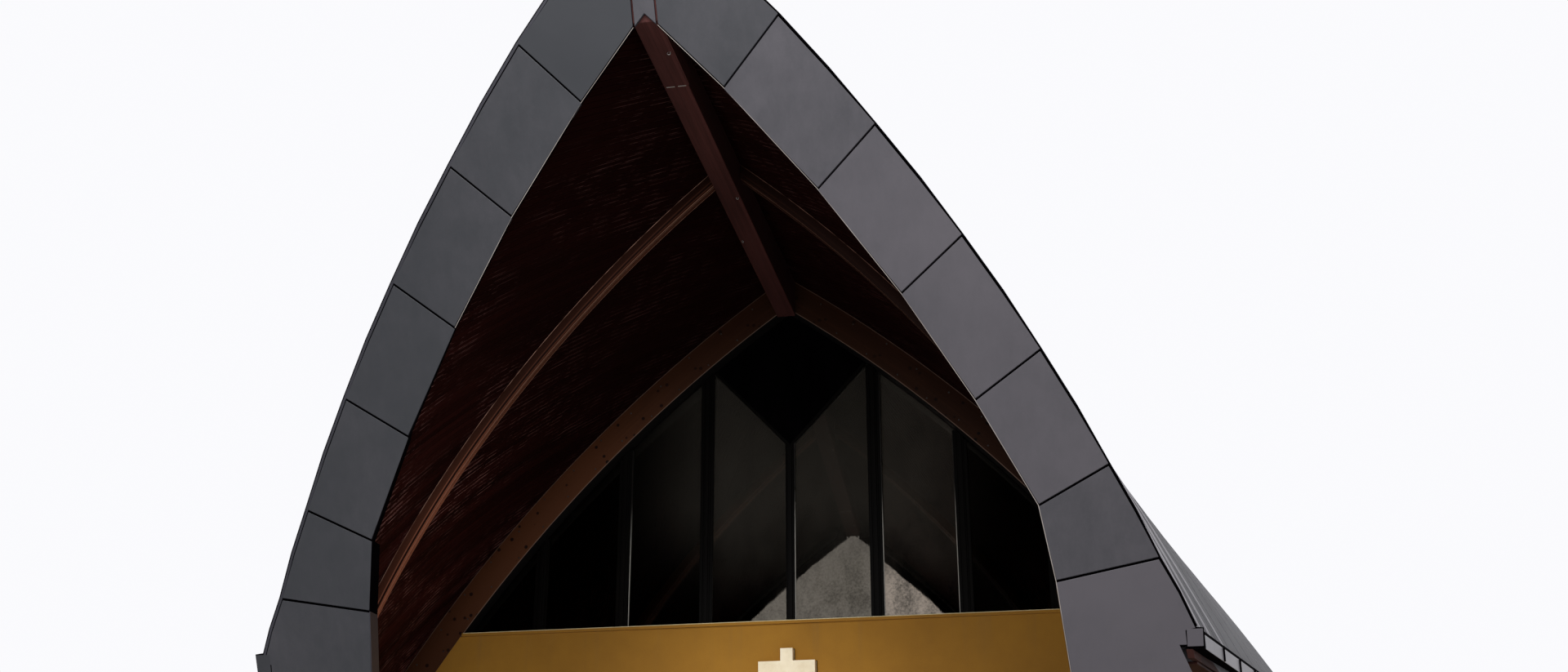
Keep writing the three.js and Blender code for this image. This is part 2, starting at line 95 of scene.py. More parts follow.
class Wire:
    """A node's output that takes part in Python expressions."""

    def __init__(self, graph: Graph, socket: bpy.types.NodeSocket | None) -> None:
        """Keeps the output and the graph that it belongs to.

        Args:
            graph: The material's node graph.
            socket: The output socket, or None on the node that ends the graph.
        """
        self.graph = graph
        self.socket = socket

    def maths(self, operation: str, *values: Wire | float) -> Wire:
        """A Math node on this and other values.

        Args:
            operation: The Math node's operation.
            values: All operands, in order.

        Returns:
            The node's value.
        """
        return self.graph.node("ShaderNodeMath", {"operation": operation}, dict(enumerate(values)))

    def __add__(self, other: Wire | float) -> Wire:
        """The sum."""
        return self.maths("ADD", self, other)

    def __sub__(self, other: Wire | float) -> Wire:
        """The difference."""
        return self.maths("SUBTRACT", self, other)

    def __rsub__(self, other: Wire | float) -> Wire:
        """The difference with a number first."""
        return self.maths("SUBTRACT", other, self)

    def __mul__(self, other: Wire | float) -> Wire:
        """The product."""
        return self.maths("MULTIPLY", self, other)

    def __truediv__(self, other: Wire | float) -> Wire:
        """The quotient."""
        return self.maths("DIVIDE", self, other)

    def __pow__(self, other: Wire | float) -> Wire:
        """The power."""
        return self.maths("POWER", self, other)

    def __abs__(self) -> Wire:
        """The size without its sign."""
        return self.maths("ABSOLUTE", self)

    def floor(self) -> Wire:
        """The whole number below."""
        return self.maths("FLOOR", self)

    def fraction(self) -> Wire:
        """What is left above the whole number."""
        return self.maths("FRACT", self)

    def ramp(self, low: float, high: float) -> Wire:
        """A smooth step from 0 at low to 1 at high.

        Args:
            low: The value that gives 0.
            high: The value that gives 1.

        Returns:
            The step's value.
        """
        settings = {"interpolation_type": "SMOOTHSTEP"}
        return self.graph.node("ShaderNodeMapRange", settings, {0: self, 1: low, 2: high, 3: 0.0, 4: 1.0})


class Graph:
    """The node graph of one material."""

    def __init__(self, name: str) -> None:
        """Starts an empty material.

        Args:
            name: The material's name.
        """
        self.material = bpy.data.materials.new(name)
        self.material.use_nodes = True
        self.tree = self.material.node_tree
        self.tree.nodes.clear()

    def node(
        self,
        kind: str,
        settings: Mapping[str, object] | None = None,
        inputs: Mapping[int | str, object] | None = None,
        output: int | str = 0,
    ) -> Wire:
        """Adds a node.

        Args:
            kind: The node's type.
            settings: The node's own settings, set first.
            inputs: Values or wires for its sockets.
            output: The output that is used.

        Returns:
            That output.
        """
        made = self.tree.nodes.new(kind)
        for name, value in (settings or {}).items():
            setattr(made, name, value)
        for key, value in (inputs or {}).items():
            if isinstance(value, Wire):
                self.tree.links.new(value.socket, made.inputs[key])
            else:
                made.inputs[key].default_value = value
        return Wire(self, made.outputs[output] if made.outputs else None)

    def place(self) -> Wire:
        """The point on the building."""
        return self.node("ShaderNodeTexCoord", output="Object")

    def parts(self, vector: Wire) -> tuple[Wire, Wire, Wire]:
        """The three numbers of a vector.

        Args:
            vector: The vector.

        Returns:
            Its X, Y and Z.
        """
        split = self.node("ShaderNodeSeparateXYZ", inputs={0: vector})
        outputs = split.socket.node.outputs
        return Wire(self, outputs[0]), Wire(self, outputs[1]), Wire(self, outputs[2])

    def vector(self, x: Wire | float, y: Wire | float, z: Wire | float) -> Wire:
        """A vector from three numbers."""
        return self.node("ShaderNodeCombineXYZ", inputs={0: x, 1: y, 2: z})

    def stretched(self, along: float, across: float, through: float) -> Wire:
        """The point on the building with each axis at its own scale."""
        x, y, z = self.parts(self.place())
        return self.vector(x * along, y * across, z * through)

    def noise(self, vector: Wire, scale: float, detail: float = 3.0, roughness: float = 0.55) -> Wire:
        """Cloudy noise.

        Args:
            vector: Where it is read.
            scale: Clouds to the metre.
            detail: Octaves of finer clouds.
            roughness: Weight of the finer clouds.

        Returns:
            A value about one half.
        """
        inputs = {"Vector": vector, "Scale": scale, "Detail": detail, "Roughness": roughness}
        return self.node("ShaderNodeTexNoise", inputs=inputs)

    def draw(self, index: Wire) -> Wire:
        """One random value for each whole number."""
        return self.node("ShaderNodeTexWhiteNoise", {"noise_dimensions": "1D"}, {"W": index})

    def cells(self, vector: Wire, scale: float) -> Wire:
        """Distance to the nearest of many scattered points."""
        return self.node("ShaderNodeTexVoronoi", inputs={"Vector": vector, "Scale": scale})

    def mix(self, share: Wire | float, first: Wire | Colour, second: Wire | Colour) -> Wire:
        """A colour between two.

        Args:
            share: The second colour's share.
            first: The first colour.
            second: The second colour.

        Returns:
            The mixed colour.
        """
        return self.node("ShaderNodeMix", {"data_type": "RGBA"}, {0: share, 6: first, 7: second}, output=2)

    def attribute(self, name: str, output: str) -> Wire:
        """A value that the mesh carries."""
        return self.node("ShaderNodeAttribute", {"attribute_name": name}, output=output)

    def bump(self, height: Wire, distance: float) -> Wire:
        """A normal from a height in the given distance."""
        return self.node("ShaderNodeBump", inputs={"Strength": 1.0, "Distance": distance, "Height": height})

    def leaned(self, normal: Wire, aside: float, up: Wire | float) -> Wire:
        """Turns a normal a little.

        Args:
            normal: The normal.
            aside: How far it turns to the right.
            up: How far it turns upward.

        Returns:
            The turned normal.
        """
        shift = self.vector(aside, 0.0, up)
        tipped = self.node("ShaderNodeVectorMath", {"operation": "ADD"}, {0: normal, 1: shift})
        return self.node("ShaderNodeVectorMath", {"operation": "NORMALIZE"}, {0: tipped})

    def surface(self, **sockets: Wire | Colour | float) -> bpy.types.Material:
        """Ends the graph in a surface.

        Args:
            sockets: The shader's sockets, with underscores for spaces.

        Returns:
            The finished material.
        """
        inputs = {name.replace("_", " "): value for name, value in sockets.items()}
        shader = self.node("ShaderNodeBsdfPrincipled", inputs=inputs)
        self.node("ShaderNodeOutputMaterial", inputs={"Surface": shader})
        return self.material


@dataclass(frozen=True)
class SheetMetal:
    """Painted or weathered sheet, with a tone of its own on each panel and, where asked, painted light that
    turns it lighter towards the right.
    """

    name: str
    dark: Colour
    light: Colour
    batch: float = 0.35
    mottle: float = 0.9
    streaks: float = 0.25
    sweep: float = 0.0
    roughness: float = 0.42
    metallic: float = 0.3
    buckle: float = 0.004
    shine: float = 1.5

    @cache
    def material(self) -> bpy.types.Material:
        """Builds the material once.

        Returns:
            The material.
        """
        graph = Graph(self.name)
        place = graph.place()
        cloud = graph.noise(place, 0.55, 2.0, 0.5)
        blotch = graph.noise(place, 2.6, 4.0, 0.6)
        fine = graph.noise(place, 34.0, 3.0, 0.7)
        rain = graph.noise(graph.stretched(9.0, 9.0, 0.45), 1.0, 4.0, 0.65)
        tone = graph.attribute("tone", "Fac")
        shade = (tone - 0.5) * self.batch + (cloud - 0.5) * self.mottle + (blotch - 0.5) * (0.5 * self.mottle)
        shade = shade + (rain - 0.5) * self.streaks + (fine - 0.5) * 0.12 + 0.5
        # Painted light: the sheet turns lighter towards the right, as the light falls there.
        shade = shade + graph.parts(place)[0] * self.sweep
        base = graph.mix(shade.ramp(0.0, 1.0), self.dark, self.light)
        rough = (blotch - 0.5) * 0.16 + (fine - 0.5) * 0.1 + self.roughness
        height = cloud + blotch * 0.08 + fine * 0.004
        normal = graph.bump(height, self.buckle * 4.0)
        return graph.surface(
            Base_Color=base, Roughness=rough, Metallic=self.metallic, IOR=self.shine, Normal=normal
        )


@dataclass(frozen=True)
class Timber:
    """Stained timber: grain, boards or laminations, a scatter of knots and pale streaks that are partly wear
    and partly painted glints. Where asked it carries painted glints and highlights on edges and arrises,
    painted shade in bands and by height, and painted light across the building.
    """

    name: str
    dark: Colour
    light: Colour
    glint: Colour
    grain: Grain
    pitch: float = 0.11
    contrast: float = 0.8
    batch: float = 0.5
    worn: float = 0.4
    knots: float = 0.0
    lines: float = 0.0
    edge_glint: float = 0.0
    sweep: float = 0.0
    stained: tuple[Triple, ...] = ()
    pale_root: float = 0.0
    painted_inside: float = 0.0
    fades: tuple[Triple, ...] = ()
    arrises: tuple[float, ...] = ()
    arris_width: float = 0.012
    roughness: float = 0.7
    shine: float = 1.2
    turned_about: float = 22.5

    def _axes(self, graph: Graph, x: Wire, y: Wire, z: Wire) -> tuple[Wire, Wire, Wire]:
        """The grain's own axes.

        Args:
            graph: The material's graph.
            x: Place across the building.
            y: Place along the building.
            z: Height.

        Returns:
            Lengths along, across and through the timber.
        """
        if self.grain is Grain.FLAT:
            return graph.parts(graph.attribute("flat", "Vector"))
        if self.grain is Grain.DEPTH:
            return y, x, z
        if self.grain is Grain.UPRIGHT:
            return z, x, y
        reach, rise = abs(x) + NAVE_CENTRE[0], z + NAVE_CENTRE[1]
        radius = (reach * reach + rise * rise) ** 0.5
        arc = rise.maths("ARCTAN2", rise, reach) * self.turned_about
        if self.grain is Grain.ARCH:
            return arc, radius, y
        return (arc + y) * DIAGONAL, (arc - y) * DIAGONAL, radius

    @cache
    def material(self) -> bpy.types.Material:
        """Builds the material once.

        Returns:
            The material.
        """
        graph = Graph(self.name)
        aside, depth, height = graph.parts(graph.place())
        along, across, through = self._axes(graph, aside, depth, height)
        board = (across / self.pitch).floor()
        in_board = (across / self.pitch).fraction()
        draw = graph.draw(board)
        fibres = graph.vector(along * 0.8, across * 20.0 + draw * 9.0, through * 20.0)
        flow = graph.noise(fibres, 1.0, 5.0, 0.62)
        cloud = graph.noise(graph.vector(along * 0.5, across * 1.3, through * 1.3), 1.0, 2.0, 0.5)
        pores = graph.noise(graph.vector(along * 9.0, across * 160.0, through * 160.0), 1.0, 2.0, 0.6)
        shade = (flow - 0.5) * self.contrast + (draw - 0.5) * self.batch + (cloud - 0.5) * 0.7
        # Painted light: the timber turns lighter or darker across the building, as the light falls.
        shade = shade + (pores - 0.5) * 0.25 + aside * self.sweep + 0.5
        base = graph.mix(shade.ramp(0.0, 1.0), self.dark, self.light)
        # Pale streaks along the grain: partly wear, partly painted glints.
        scratch = graph.noise(graph.vector(along * 2.4, across * 46.0, draw * 5.0), 1.0, 3.0, 0.75)
        base = graph.mix(scratch.ramp(0.66, 0.8) * self.worn, base, self.glint)
        if self.knots:
            spot = graph.cells(graph.vector(along, across, through), 5.5)
            base = graph.mix((1.0 - spot.ramp(0.13, 0.2)) * self.knots, base, (0.002, 0.001, 0.001, 1.0))
        if self.lines:
            base = graph.mix(abs(in_board - 0.5).ramp(0.45, 0.5) * self.lines, base, self.dark)
        if self.edge_glint:
            groove = in_board.ramp(0.7, 0.76) * (1.0 - in_board.ramp(0.84, 0.9))
            rim = 1.0 - in_board.ramp(0.05, 0.13) * (1.0 - groove)
            run = graph.noise(graph.vector(along * 2.6, draw * 37.0, board * 3.7), 1.0, 4.0, 0.75)
            patch = graph.noise(graph.vector(along * 0.45, across * 0.7, 3.0), 1.0, 2.0, 0.5)
            share = rim * run.ramp(0.46, 0.66) * patch.ramp(0.36, 0.62)
            base = graph.mix(share * self.edge_glint, base, self.glint)
        # Painted shade: darker between the given heights, where the porch's shade falls.
        for start, end, share in self.fades:
            base = graph.mix(height.ramp(start, end) * share, base, self.dark)
        # Painted shade: dark bands through the timber's depth, for a shaded face and a shadow gap.
        for low, high, share in self.stained:
            inside = through.ramp(low - 0.004, low) * (1.0 - through.ramp(high - 0.002, high))
            base = graph.mix(inside * share, base, self.dark)
        # Painted highlight: a broken pale line along the timber's root edge.
        if self.pale_root:
            root = 1.0 - through.ramp(0.6 * self.pale_root, self.pale_root)
            gaps = graph.noise(graph.vector(along * 3.0, 0.0, 5.0), 1.0, 2.0, 0.6)
            base = graph.mix(root * gaps.ramp(0.35, 0.6), base, self.glint)
        # Painted highlights: pale lines along the arrises.
        for arris in self.arrises:
            near = 1.0 - abs(across - arris).ramp(0.4 * self.arris_width, self.arris_width)
            base = graph.mix(near * 0.7, base, self.glint)
        # Near black on the faces below this radius.
        if self.painted_inside:
            inside = 1.0 - across.ramp(self.painted_inside, self.painted_inside + 0.004)
            base = graph.mix(inside, base, NEAR_BLACK)
        rough = (flow - 0.5) * 0.25 + self.roughness
        normal = graph.bump(flow * 0.6 + pores * 0.4, 0.0012)
        return graph.surface(Base_Color=base, Roughness=rough, IOR=self.shine, Normal=normal)


@dataclass(frozen=True)
class MineralRender:
    """Trowelled ochre render with a fine grain, slow clouds and faint stains under its coping."""

    name: str = "ochre render"
    dark: Colour = (0.235, 0.102, 0.006, 1.0)
    light: Colour = (0.37, 0.17, 0.0118, 1.0)
    stain: Colour = (0.2, 0.11, 0.03, 1.0)

    @cache
    def material(self) -> bpy.types.Material:
        """Builds the material once.

        Returns:
            The material.
        """
        graph = Graph(self.name)
        place = graph.place()
        cloud = graph.noise(place, 0.35, 3.0, 0.5)
        patch = graph.noise(place, 2.3, 5.0, 0.6)
        grit = graph.noise(place, 90.0, 3.0, 0.7)
        shade = (cloud - 0.5) * 1.1 + (patch - 0.5) * 0.5 + (grit - 0.5) * 0.3 + 0.5
        base = graph.mix(shade.ramp(0.0, 1.0), self.dark, self.light)
        drip = graph.noise(graph.stretched(5.0, 5.0, 0.25), 1.0, 4.0, 0.6)
        height = graph.parts(place)[2]
        high = height.ramp(4.9, 6.0) * drip.ramp(0.5, 0.8)
        low = (1.0 - height.ramp(0.0, 0.7)) * patch.ramp(0.3, 0.7)
        base = graph.mix(high * 0.35 + low * 0.5, base, self.stain)
        normal = graph.bump(grit * 0.7 + patch * 0.5, 0.004)
        return graph.surface(Base_Color=base, Roughness=(grit - 0.5) * 0.1 + 0.88, Normal=normal)


@dataclass(frozen=True)
class PaleStone:
    """Smooth cream stone with soft veins and small pits."""

    name: str
    dark: Colour
    light: Colour

    @cache
    def material(self) -> bpy.types.Material:
        """Builds the material once.

        Returns:
            The material.
        """
        graph = Graph(self.name)
        place = graph.place()
        cloud = graph.noise(place, 5.0, 5.0, 0.6)
        grit = graph.noise(place, 120.0, 2.0, 0.7)
        pit = 1.0 - graph.cells(place, 60.0).ramp(0.06, 0.2)
        shade = (cloud - 0.5) * 1.2 + (grit - 0.5) * 0.4 - pit * 0.3 + 0.6
        base = graph.mix(shade.ramp(0.0, 1.0), self.dark, self.light)
        normal = graph.bump(grit * 0.5 - pit * 0.5, 0.002)
        return graph.surface(Base_Color=base, Roughness=(grit - 0.5) * 0.1 + 0.7, Normal=normal)


@dataclass(frozen=True)
class FramePaint:
    """Dark satin paint on bars and hidden linings, dusty in soft clouds."""

    name: str
    dark: Colour
    dust: Colour
    roughness: float = 0.45
    shine: float = 1.3
    worn_below: float = 0.0
    worn: Colour = (0.42, 0.4, 0.36, 1.0)

    @cache
    def material(self) -> bpy.types.Material:
        """Builds the material once.

        Returns:
            The material.
        """
        graph = Graph(self.name)
        cloud = graph.noise(graph.stretched(3.0, 3.0, 0.8), 1.0, 4.0, 0.6)
        fine = graph.noise(graph.place(), 60.0, 2.0, 0.6)
        base = graph.mix(cloud.ramp(0.35, 0.75) * 0.7 + fine * 0.2, self.dark, self.dust)
        # Painted highlight: pale below a height, with a ragged edge.
        if self.worn_below:
            height = graph.parts(graph.place())[2]
            painted_highlight = 1.0 - (height + (cloud - 0.5) * 0.8).ramp(self.worn_below - 0.9, self.worn_below)
            base = graph.mix(painted_highlight, base, self.worn)
        normal = graph.bump(fine, 0.0006)
        rough = (cloud - 0.5) * 0.2 + self.roughness
        return graph.surface(Base_Color=base, Roughness=rough, IOR=self.shine, Normal=normal)


@dataclass(frozen=True)
class DarkGlass:
    """Sun-coated glass with a mottled film. Its reflections lean back a little more than its sheets do. Its
    tone paints each pane's reflection brighter or dimmer, and a painted glow lights the middle of the upper
    glass.
    """

    name: str = "dark glass"
    dim: Colour = (0.034, 0.03, 0.025, 1.0)
    coat: Colour = (0.135, 0.122, 0.101, 1.0)
    bright: Colour = (0.34, 0.285, 0.235, 1.0)
    lean: float = 0.0535
    turn: float = 0.0147

    @cache
    def material(self) -> bpy.types.Material:
        """Builds the material once.

        Returns:
            The material.
        """
        graph = Graph(self.name)
        place = graph.place()
        cloud = graph.noise(place, 0.7, 3.0, 0.5)
        smear = graph.noise(graph.stretched(2.6, 2.6, 1.3), 1.0, 6.0, 0.7)
        grit = graph.noise(place, 26.0, 4.0, 0.7)
        # Painted reflection: below zero the tone dims the film; above zero it brightens the reflection
        # towards the bright colour and tips it a little more.
        tone = graph.attribute("tone", "Fac")
        film = (smear - 0.5) * 1.3 + (grit - 0.5) * 1.1 + (cloud - 0.5) * 0.5
        film = film + tone.ramp(-1.0, 0.0) * 0.7 - 0.08
        base = graph.mix(film.ramp(0.0, 1.0), self.dim, self.coat)
        base = graph.mix(tone.ramp(0.0, 1.0) * film.ramp(0.1, 1.1), base, self.bright)
        normal = graph.leaned(graph.bump(smear, 0.0002), self.turn, tone.ramp(0.0, 1.0) * 0.006 + self.lean)
        x, _, z = graph.parts(place)
        # Painted light: a soft brown glow in the middle of the upper glass, where the base turns to the coat
        # colour and the metal gives way to diffuse.
        dust = (1.0 - abs(x - 0.2).ramp(1.2, 3.4)) * (z + cloud * 0.8).ramp(6.6, 8.6) * (smear * 0.4 + 0.6)
        base = graph.mix(dust, base, self.coat)
        rough = smear.ramp(0.35, 0.8) * 0.03 + 0.01
        return graph.surface(
            Base_Color=base, Metallic=1.0 - dust * 0.3, Roughness=rough, Alpha=0.96, IOR=1.2, Normal=normal
        )


BOARD_PITCH = 0.092
CLADDING = SheetMetal(
    "porch cladding", (0.018, 0.0195, 0.0242, 1.0), (0.0695, 0.063, 0.0735, 1.0),
    batch=0.5, mottle=0.45, sweep=0.04,
)
EDGE_SHEET = SheetMetal(
    "edge sheet", (0.01, 0.01, 0.015, 1.0), (0.036, 0.034, 0.046, 1.0), mottle=0.5, sweep=0.02
)
# Painted highlight: pale strips along the panels' inner edges.
EDGE_HIGHLIGHT = SheetMetal("edge trim", (0.15, 0.125, 0.11, 1.0), (0.3, 0.27, 0.25, 1.0), mottle=1.4, batch=0.1)
FLASHING = SheetMetal("edge flashing", (0.19, 0.18, 0.2, 1.0), (0.34, 0.33, 0.35, 1.0), metallic=0.2)
SEAM_SHEET = SheetMetal(
    "seam sheet", (0.07, 0.068, 0.074, 1.0), (0.13, 0.125, 0.135, 1.0), metallic=0.2, shine=1.25
)
ROOFING = SheetMetal(
    "seamed roofing", (0.036, 0.035, 0.04, 1.0), (0.062, 0.06, 0.066, 1.0),
    batch=0.15, mottle=0.5, streaks=0.4, metallic=0.2, roughness=0.55, shine=1.25,
)
GUTTER_SHEET = SheetMetal("gutter sheet", (0.1, 0.095, 0.105, 1.0), (0.19, 0.18, 0.195, 1.0), buckle=0.002)
BOARDS = Timber(
    "soffit boards", (0.0075, 0.0016, 0.0013, 1.0), (0.034, 0.0074, 0.0062, 1.0), (0.4, 0.2, 0.185, 1.0),
    Grain.FLAT, pitch=BOARD_PITCH, worn=0.3, edge_glint=0.95, shine=1.08, fades=((6.3, 9.6, 0.85),),
)
VAULT_BOARDS = Timber(
    "vault boards", (0.01, 0.003, 0.002, 1.0), (0.045, 0.014, 0.009, 1.0), (0.12, 0.07, 0.05, 1.0),
    Grain.VAULT, lines=0.9,
)
MAIN_ARCH_TIMBER = Timber(
    "main arch timber", (0.02, 0.0065, 0.0028, 1.0), (0.08, 0.027, 0.0105, 1.0), (0.2, 0.13, 0.1, 1.0),
    Grain.ARCH, pitch=0.042, contrast=0.6, batch=0.2, knots=0.9, lines=0.25, worn=0.1, sweep=-0.12,
    arrises=(ARCH_INSIDE + 0.006, ARCH_OUTSIDE - 0.006), painted_inside=ARCH_INSIDE + 0.0005,
    fades=((7.4, 5.0, 0.45), (8.8, 10.4, 0.6)),
)
ARCH_TIMBER = Timber(
    "arch timber", (0.03, 0.01, 0.005, 1.0), (0.11, 0.04, 0.018, 1.0), (0.2, 0.1, 0.06, 1.0),
    Grain.ARCH, pitch=0.042, batch=0.25, knots=0.8, lines=0.3, worn=0.15,
)
RIB_TIMBER = Timber(
    "rib timber", (0.012, 0.0032, 0.0016, 1.0), (0.27, 0.091, 0.051, 1.0), (0.6, 0.34, 0.25, 1.0),
    Grain.FLAT, pitch=0.022, batch=0.6, worn=0.5, stained=((0.008, 0.1, 0.72), (0.118, 0.144, 0.98)),
    pale_root=0.012, sweep=-0.2, arrises=(0.104, 0.061), arris_width=0.01, fades=((6.4, 8.8, 0.72),),
)
SHADED_RIB_TIMBER = replace(
    RIB_TIMBER, name="shaded rib timber", light=(0.1, 0.033, 0.02, 1.0), glint=(0.26, 0.14, 0.1, 1.0)
)
PAINTED_LIGHT_SIDE_TIMBER = Timber(
    "side timber", (0.03, 0.009, 0.008, 1.0), (0.13, 0.045, 0.04, 1.0), (0.2, 0.1, 0.09, 1.0),
    Grain.DEPTH, pitch=0.09, batch=0.3, worn=0.2, lines=0.3,
)
BEAM_TIMBER = Timber(
    "beam timber", (0.02, 0.0066, 0.0062, 1.0), (0.078, 0.026, 0.0235, 1.0), (0.16, 0.09, 0.08, 1.0),
    Grain.DEPTH, pitch=0.05, batch=0.2, worn=0.15, lines=0.3,
)
EAVE_TIMBER = Timber(
    "eave timber", (0.011, 0.0034, 0.0026, 1.0), (0.042, 0.0125, 0.0095, 1.0), (0.12, 0.06, 0.05, 1.0),
    Grain.DEPTH, worn=0.3,
)
DOOR_TIMBER = Timber(
    "door timber", (0.03, 0.012, 0.006, 1.0), (0.1, 0.042, 0.02, 1.0), (0.18, 0.09, 0.05, 1.0),
    Grain.UPRIGHT, pitch=0.14, lines=0.8,
)
RENDER = MineralRender()
CREAM = PaleStone("cream stone", (0.77, 0.635, 0.415, 1.0), (0.945, 0.83, 0.615, 1.0))
COPING_HIGHLIGHT = PaleStone("coping", (0.42, 0.34, 0.18, 1.0), (0.7, 0.6, 0.36, 1.0))
FRAME_PAINT = FramePaint(
    "frame paint", (0.0011, 0.0008, 0.0007, 1.0), (0.0038, 0.0029, 0.0024, 1.0), 0.5, 1.12
)
# Near-black lining for hidden faces. Several pieces in it are painted shade: the shadow gaps at the panels'
# rims, over the gutters' lips and between the rib's flanges, and the shadows round the cross and the gutter
# caps.
LINING_AND_SHADE = FramePaint("dark lining", (0.0006, 0.0004, 0.0006, 1.0), (0.002, 0.0016, 0.0022, 1.0), 0.8, 1.04)
BEAD = FramePaint("glazing bead", (0.01, 0.009, 0.008, 1.0), (0.02, 0.018, 0.016, 1.0), 0.3, worn_below=8.1)
STEEL = SheetMetal("bolt steel", (0.03, 0.028, 0.028, 1.0), (0.1, 0.095, 0.09, 1.0), metallic=0.8)
PALE_STEEL = SheetMetal("pale steel", (0.22, 0.21, 0.21, 1.0), (0.4, 0.39, 0.38, 1.0), metallic=0.5)
GLASS = DarkGlass()
Finish = SheetMetal | Timber | MineralRender | PaleStone | FramePaint | DarkGlass


@dataclass(frozen=True)
class Arc:
    """One half of a pointed arch: a circle whose centre lies beyond the axis and below the ground."""

    beyond: float
    down: float
    radius: float

    def x_at(self, z: float) -> float:
        """Distance from the axis at a height."""
        return math.sqrt(self.radius**2 - (z + self.down) ** 2) - self.beyond

    def z_at(self, x: float) -> float:
        """Height at a distance from the axis."""
        return math.sqrt(self.radius**2 - (x + self.beyond) ** 2) - self.down

    def turn_at(self, z: float) -> float:
        """Angle above the level at a height."""
        return math.asin((z + self.down) / self.radius)

    def turn_by(self, x: float) -> float:
        """Angle above the level at a distance from the axis."""
        return math.acos((x + self.beyond) / self.radius)

    def point(self, turn: float, lift: float = 0.0) -> Point:
        """Distance and height at an angle, lifted off the circle."""
        reach = self.radius + lift
        return reach * math.cos(turn) - self.beyond, reach * math.sin(turn) - self.down


@dataclass(frozen=True)
class Layout:
    """Sizes that several sub-assemblies share."""

    nave: Arc = Arc(*NAVE_CENTRE, 23.2)
    nave_soffit: Arc = Arc(*NAVE_CENTRE, ARCH_OUTSIDE)
    nave_opening: Arc = Arc(*NAVE_CENTRE, ARCH_INSIDE)
    porch: Arc = Arc(*PORCH_CENTRE, 24.183)
    porch_soffit: Arc = Arc(*PORCH_CENTRE, 23.543)
    porch_inner: Arc = Arc(12.79, 2.695, 18.819)
    eave_top: float = 4.6
    eave_bottom: float = 4.345
    gable: float = -0.22
    arch_depth: float = 0.35
    bay: float = 4.3
    bays: int = 4
    ridge_half: float = 0.15
    fascia_depth: float = 0.21
    wall_top: float = 5.95
    lean_foot: float = -3.443
    lean_rate: float = -0.4916
    shift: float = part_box("mullion_4")[0].y

    @property
    def rear(self) -> float:
        """Depth of the rear face."""
        return self.gable + self.bays * self.bay + self.arch_depth

    def lean(self, z: float) -> float:
        """Depth of the leaning porch face at a height."""
        return self.lean_foot + self.lean_rate * z

    def at(self, x: float, y: float, z: float) -> Vector:
        """The point in the frame for a distance, depth and height."""
        return Vector((x, y + self.shift, z))

    def on_face(self, point: Point, back: float = 0.0) -> Vector:
        """A point of the porch face, set back from it."""
        return self.at(point[0], self.lean(point[1]) + back, point[1])


@dataclass(frozen=True)
class VaultSide:
    """The right half of a roof or soffit, ruled between a front arc and a back arc."""

    layout: Layout
    front: Arc
    back: Arc
    foot: float
    head: float
    leaning: bool = True

    def _turn(self, arc: Arc, share: float) -> float:
        """Angle on an arc at a share of the slope."""
        low, high = arc.turn_at(self.foot), arc.turn_by(self.head)
        return low + (high - low) * share

    def front_depth(self, share: float, lift: float = 0.0) -> float:
        """Depth at which this side starts.

        Args:
            share: Share of the slope.
            lift: How far the place lies outward.

        Returns:
            The depth.
        """
        if not self.leaning:
            return self.layout.gable
        height = self.front.point(self._turn(self.front, share), lift)[1]
        return self.layout.lean(height) + self.layout.fascia_depth

    @property
    def back_depth(self) -> float:
        """Depth at which this side ends."""
        return self.layout.gable if self.leaning else self.layout.rear

    @property
    def slope(self) -> float:
        """Length up the slope."""
        arc = self.front
        return arc.radius * (self._turn(arc, 1.0) - self._turn(arc, 0.0))

    def lay(self, share: float, depth_share: float, lift: float) -> Vector:
        """A point of this side.

        Args:
            share: Share of the slope.
            depth_share: Share of the depth.
            lift: How far the point lies outward.

        Returns:
            The point in the frame.
        """
        x0, z0 = self.front.point(self._turn(self.front, share), lift)
        x1, z1 = self.back.point(self._turn(self.back, share), lift)
        y0 = self.front_depth(share, lift)
        depth = y0 + (self.back_depth - y0) * depth_share
        return self.layout.at(x0 + (x1 - x0) * depth_share, depth, z0 + (z1 - z0) * depth_share)

    def lay_at(self, share: float, depth: float, lift: float) -> Vector:
        """A point at a share of the slope and a true depth, lifted outward."""
        y0 = self.front_depth(share, lift)
        return self.lay(share, (depth - y0) / (self.back_depth - y0), lift)


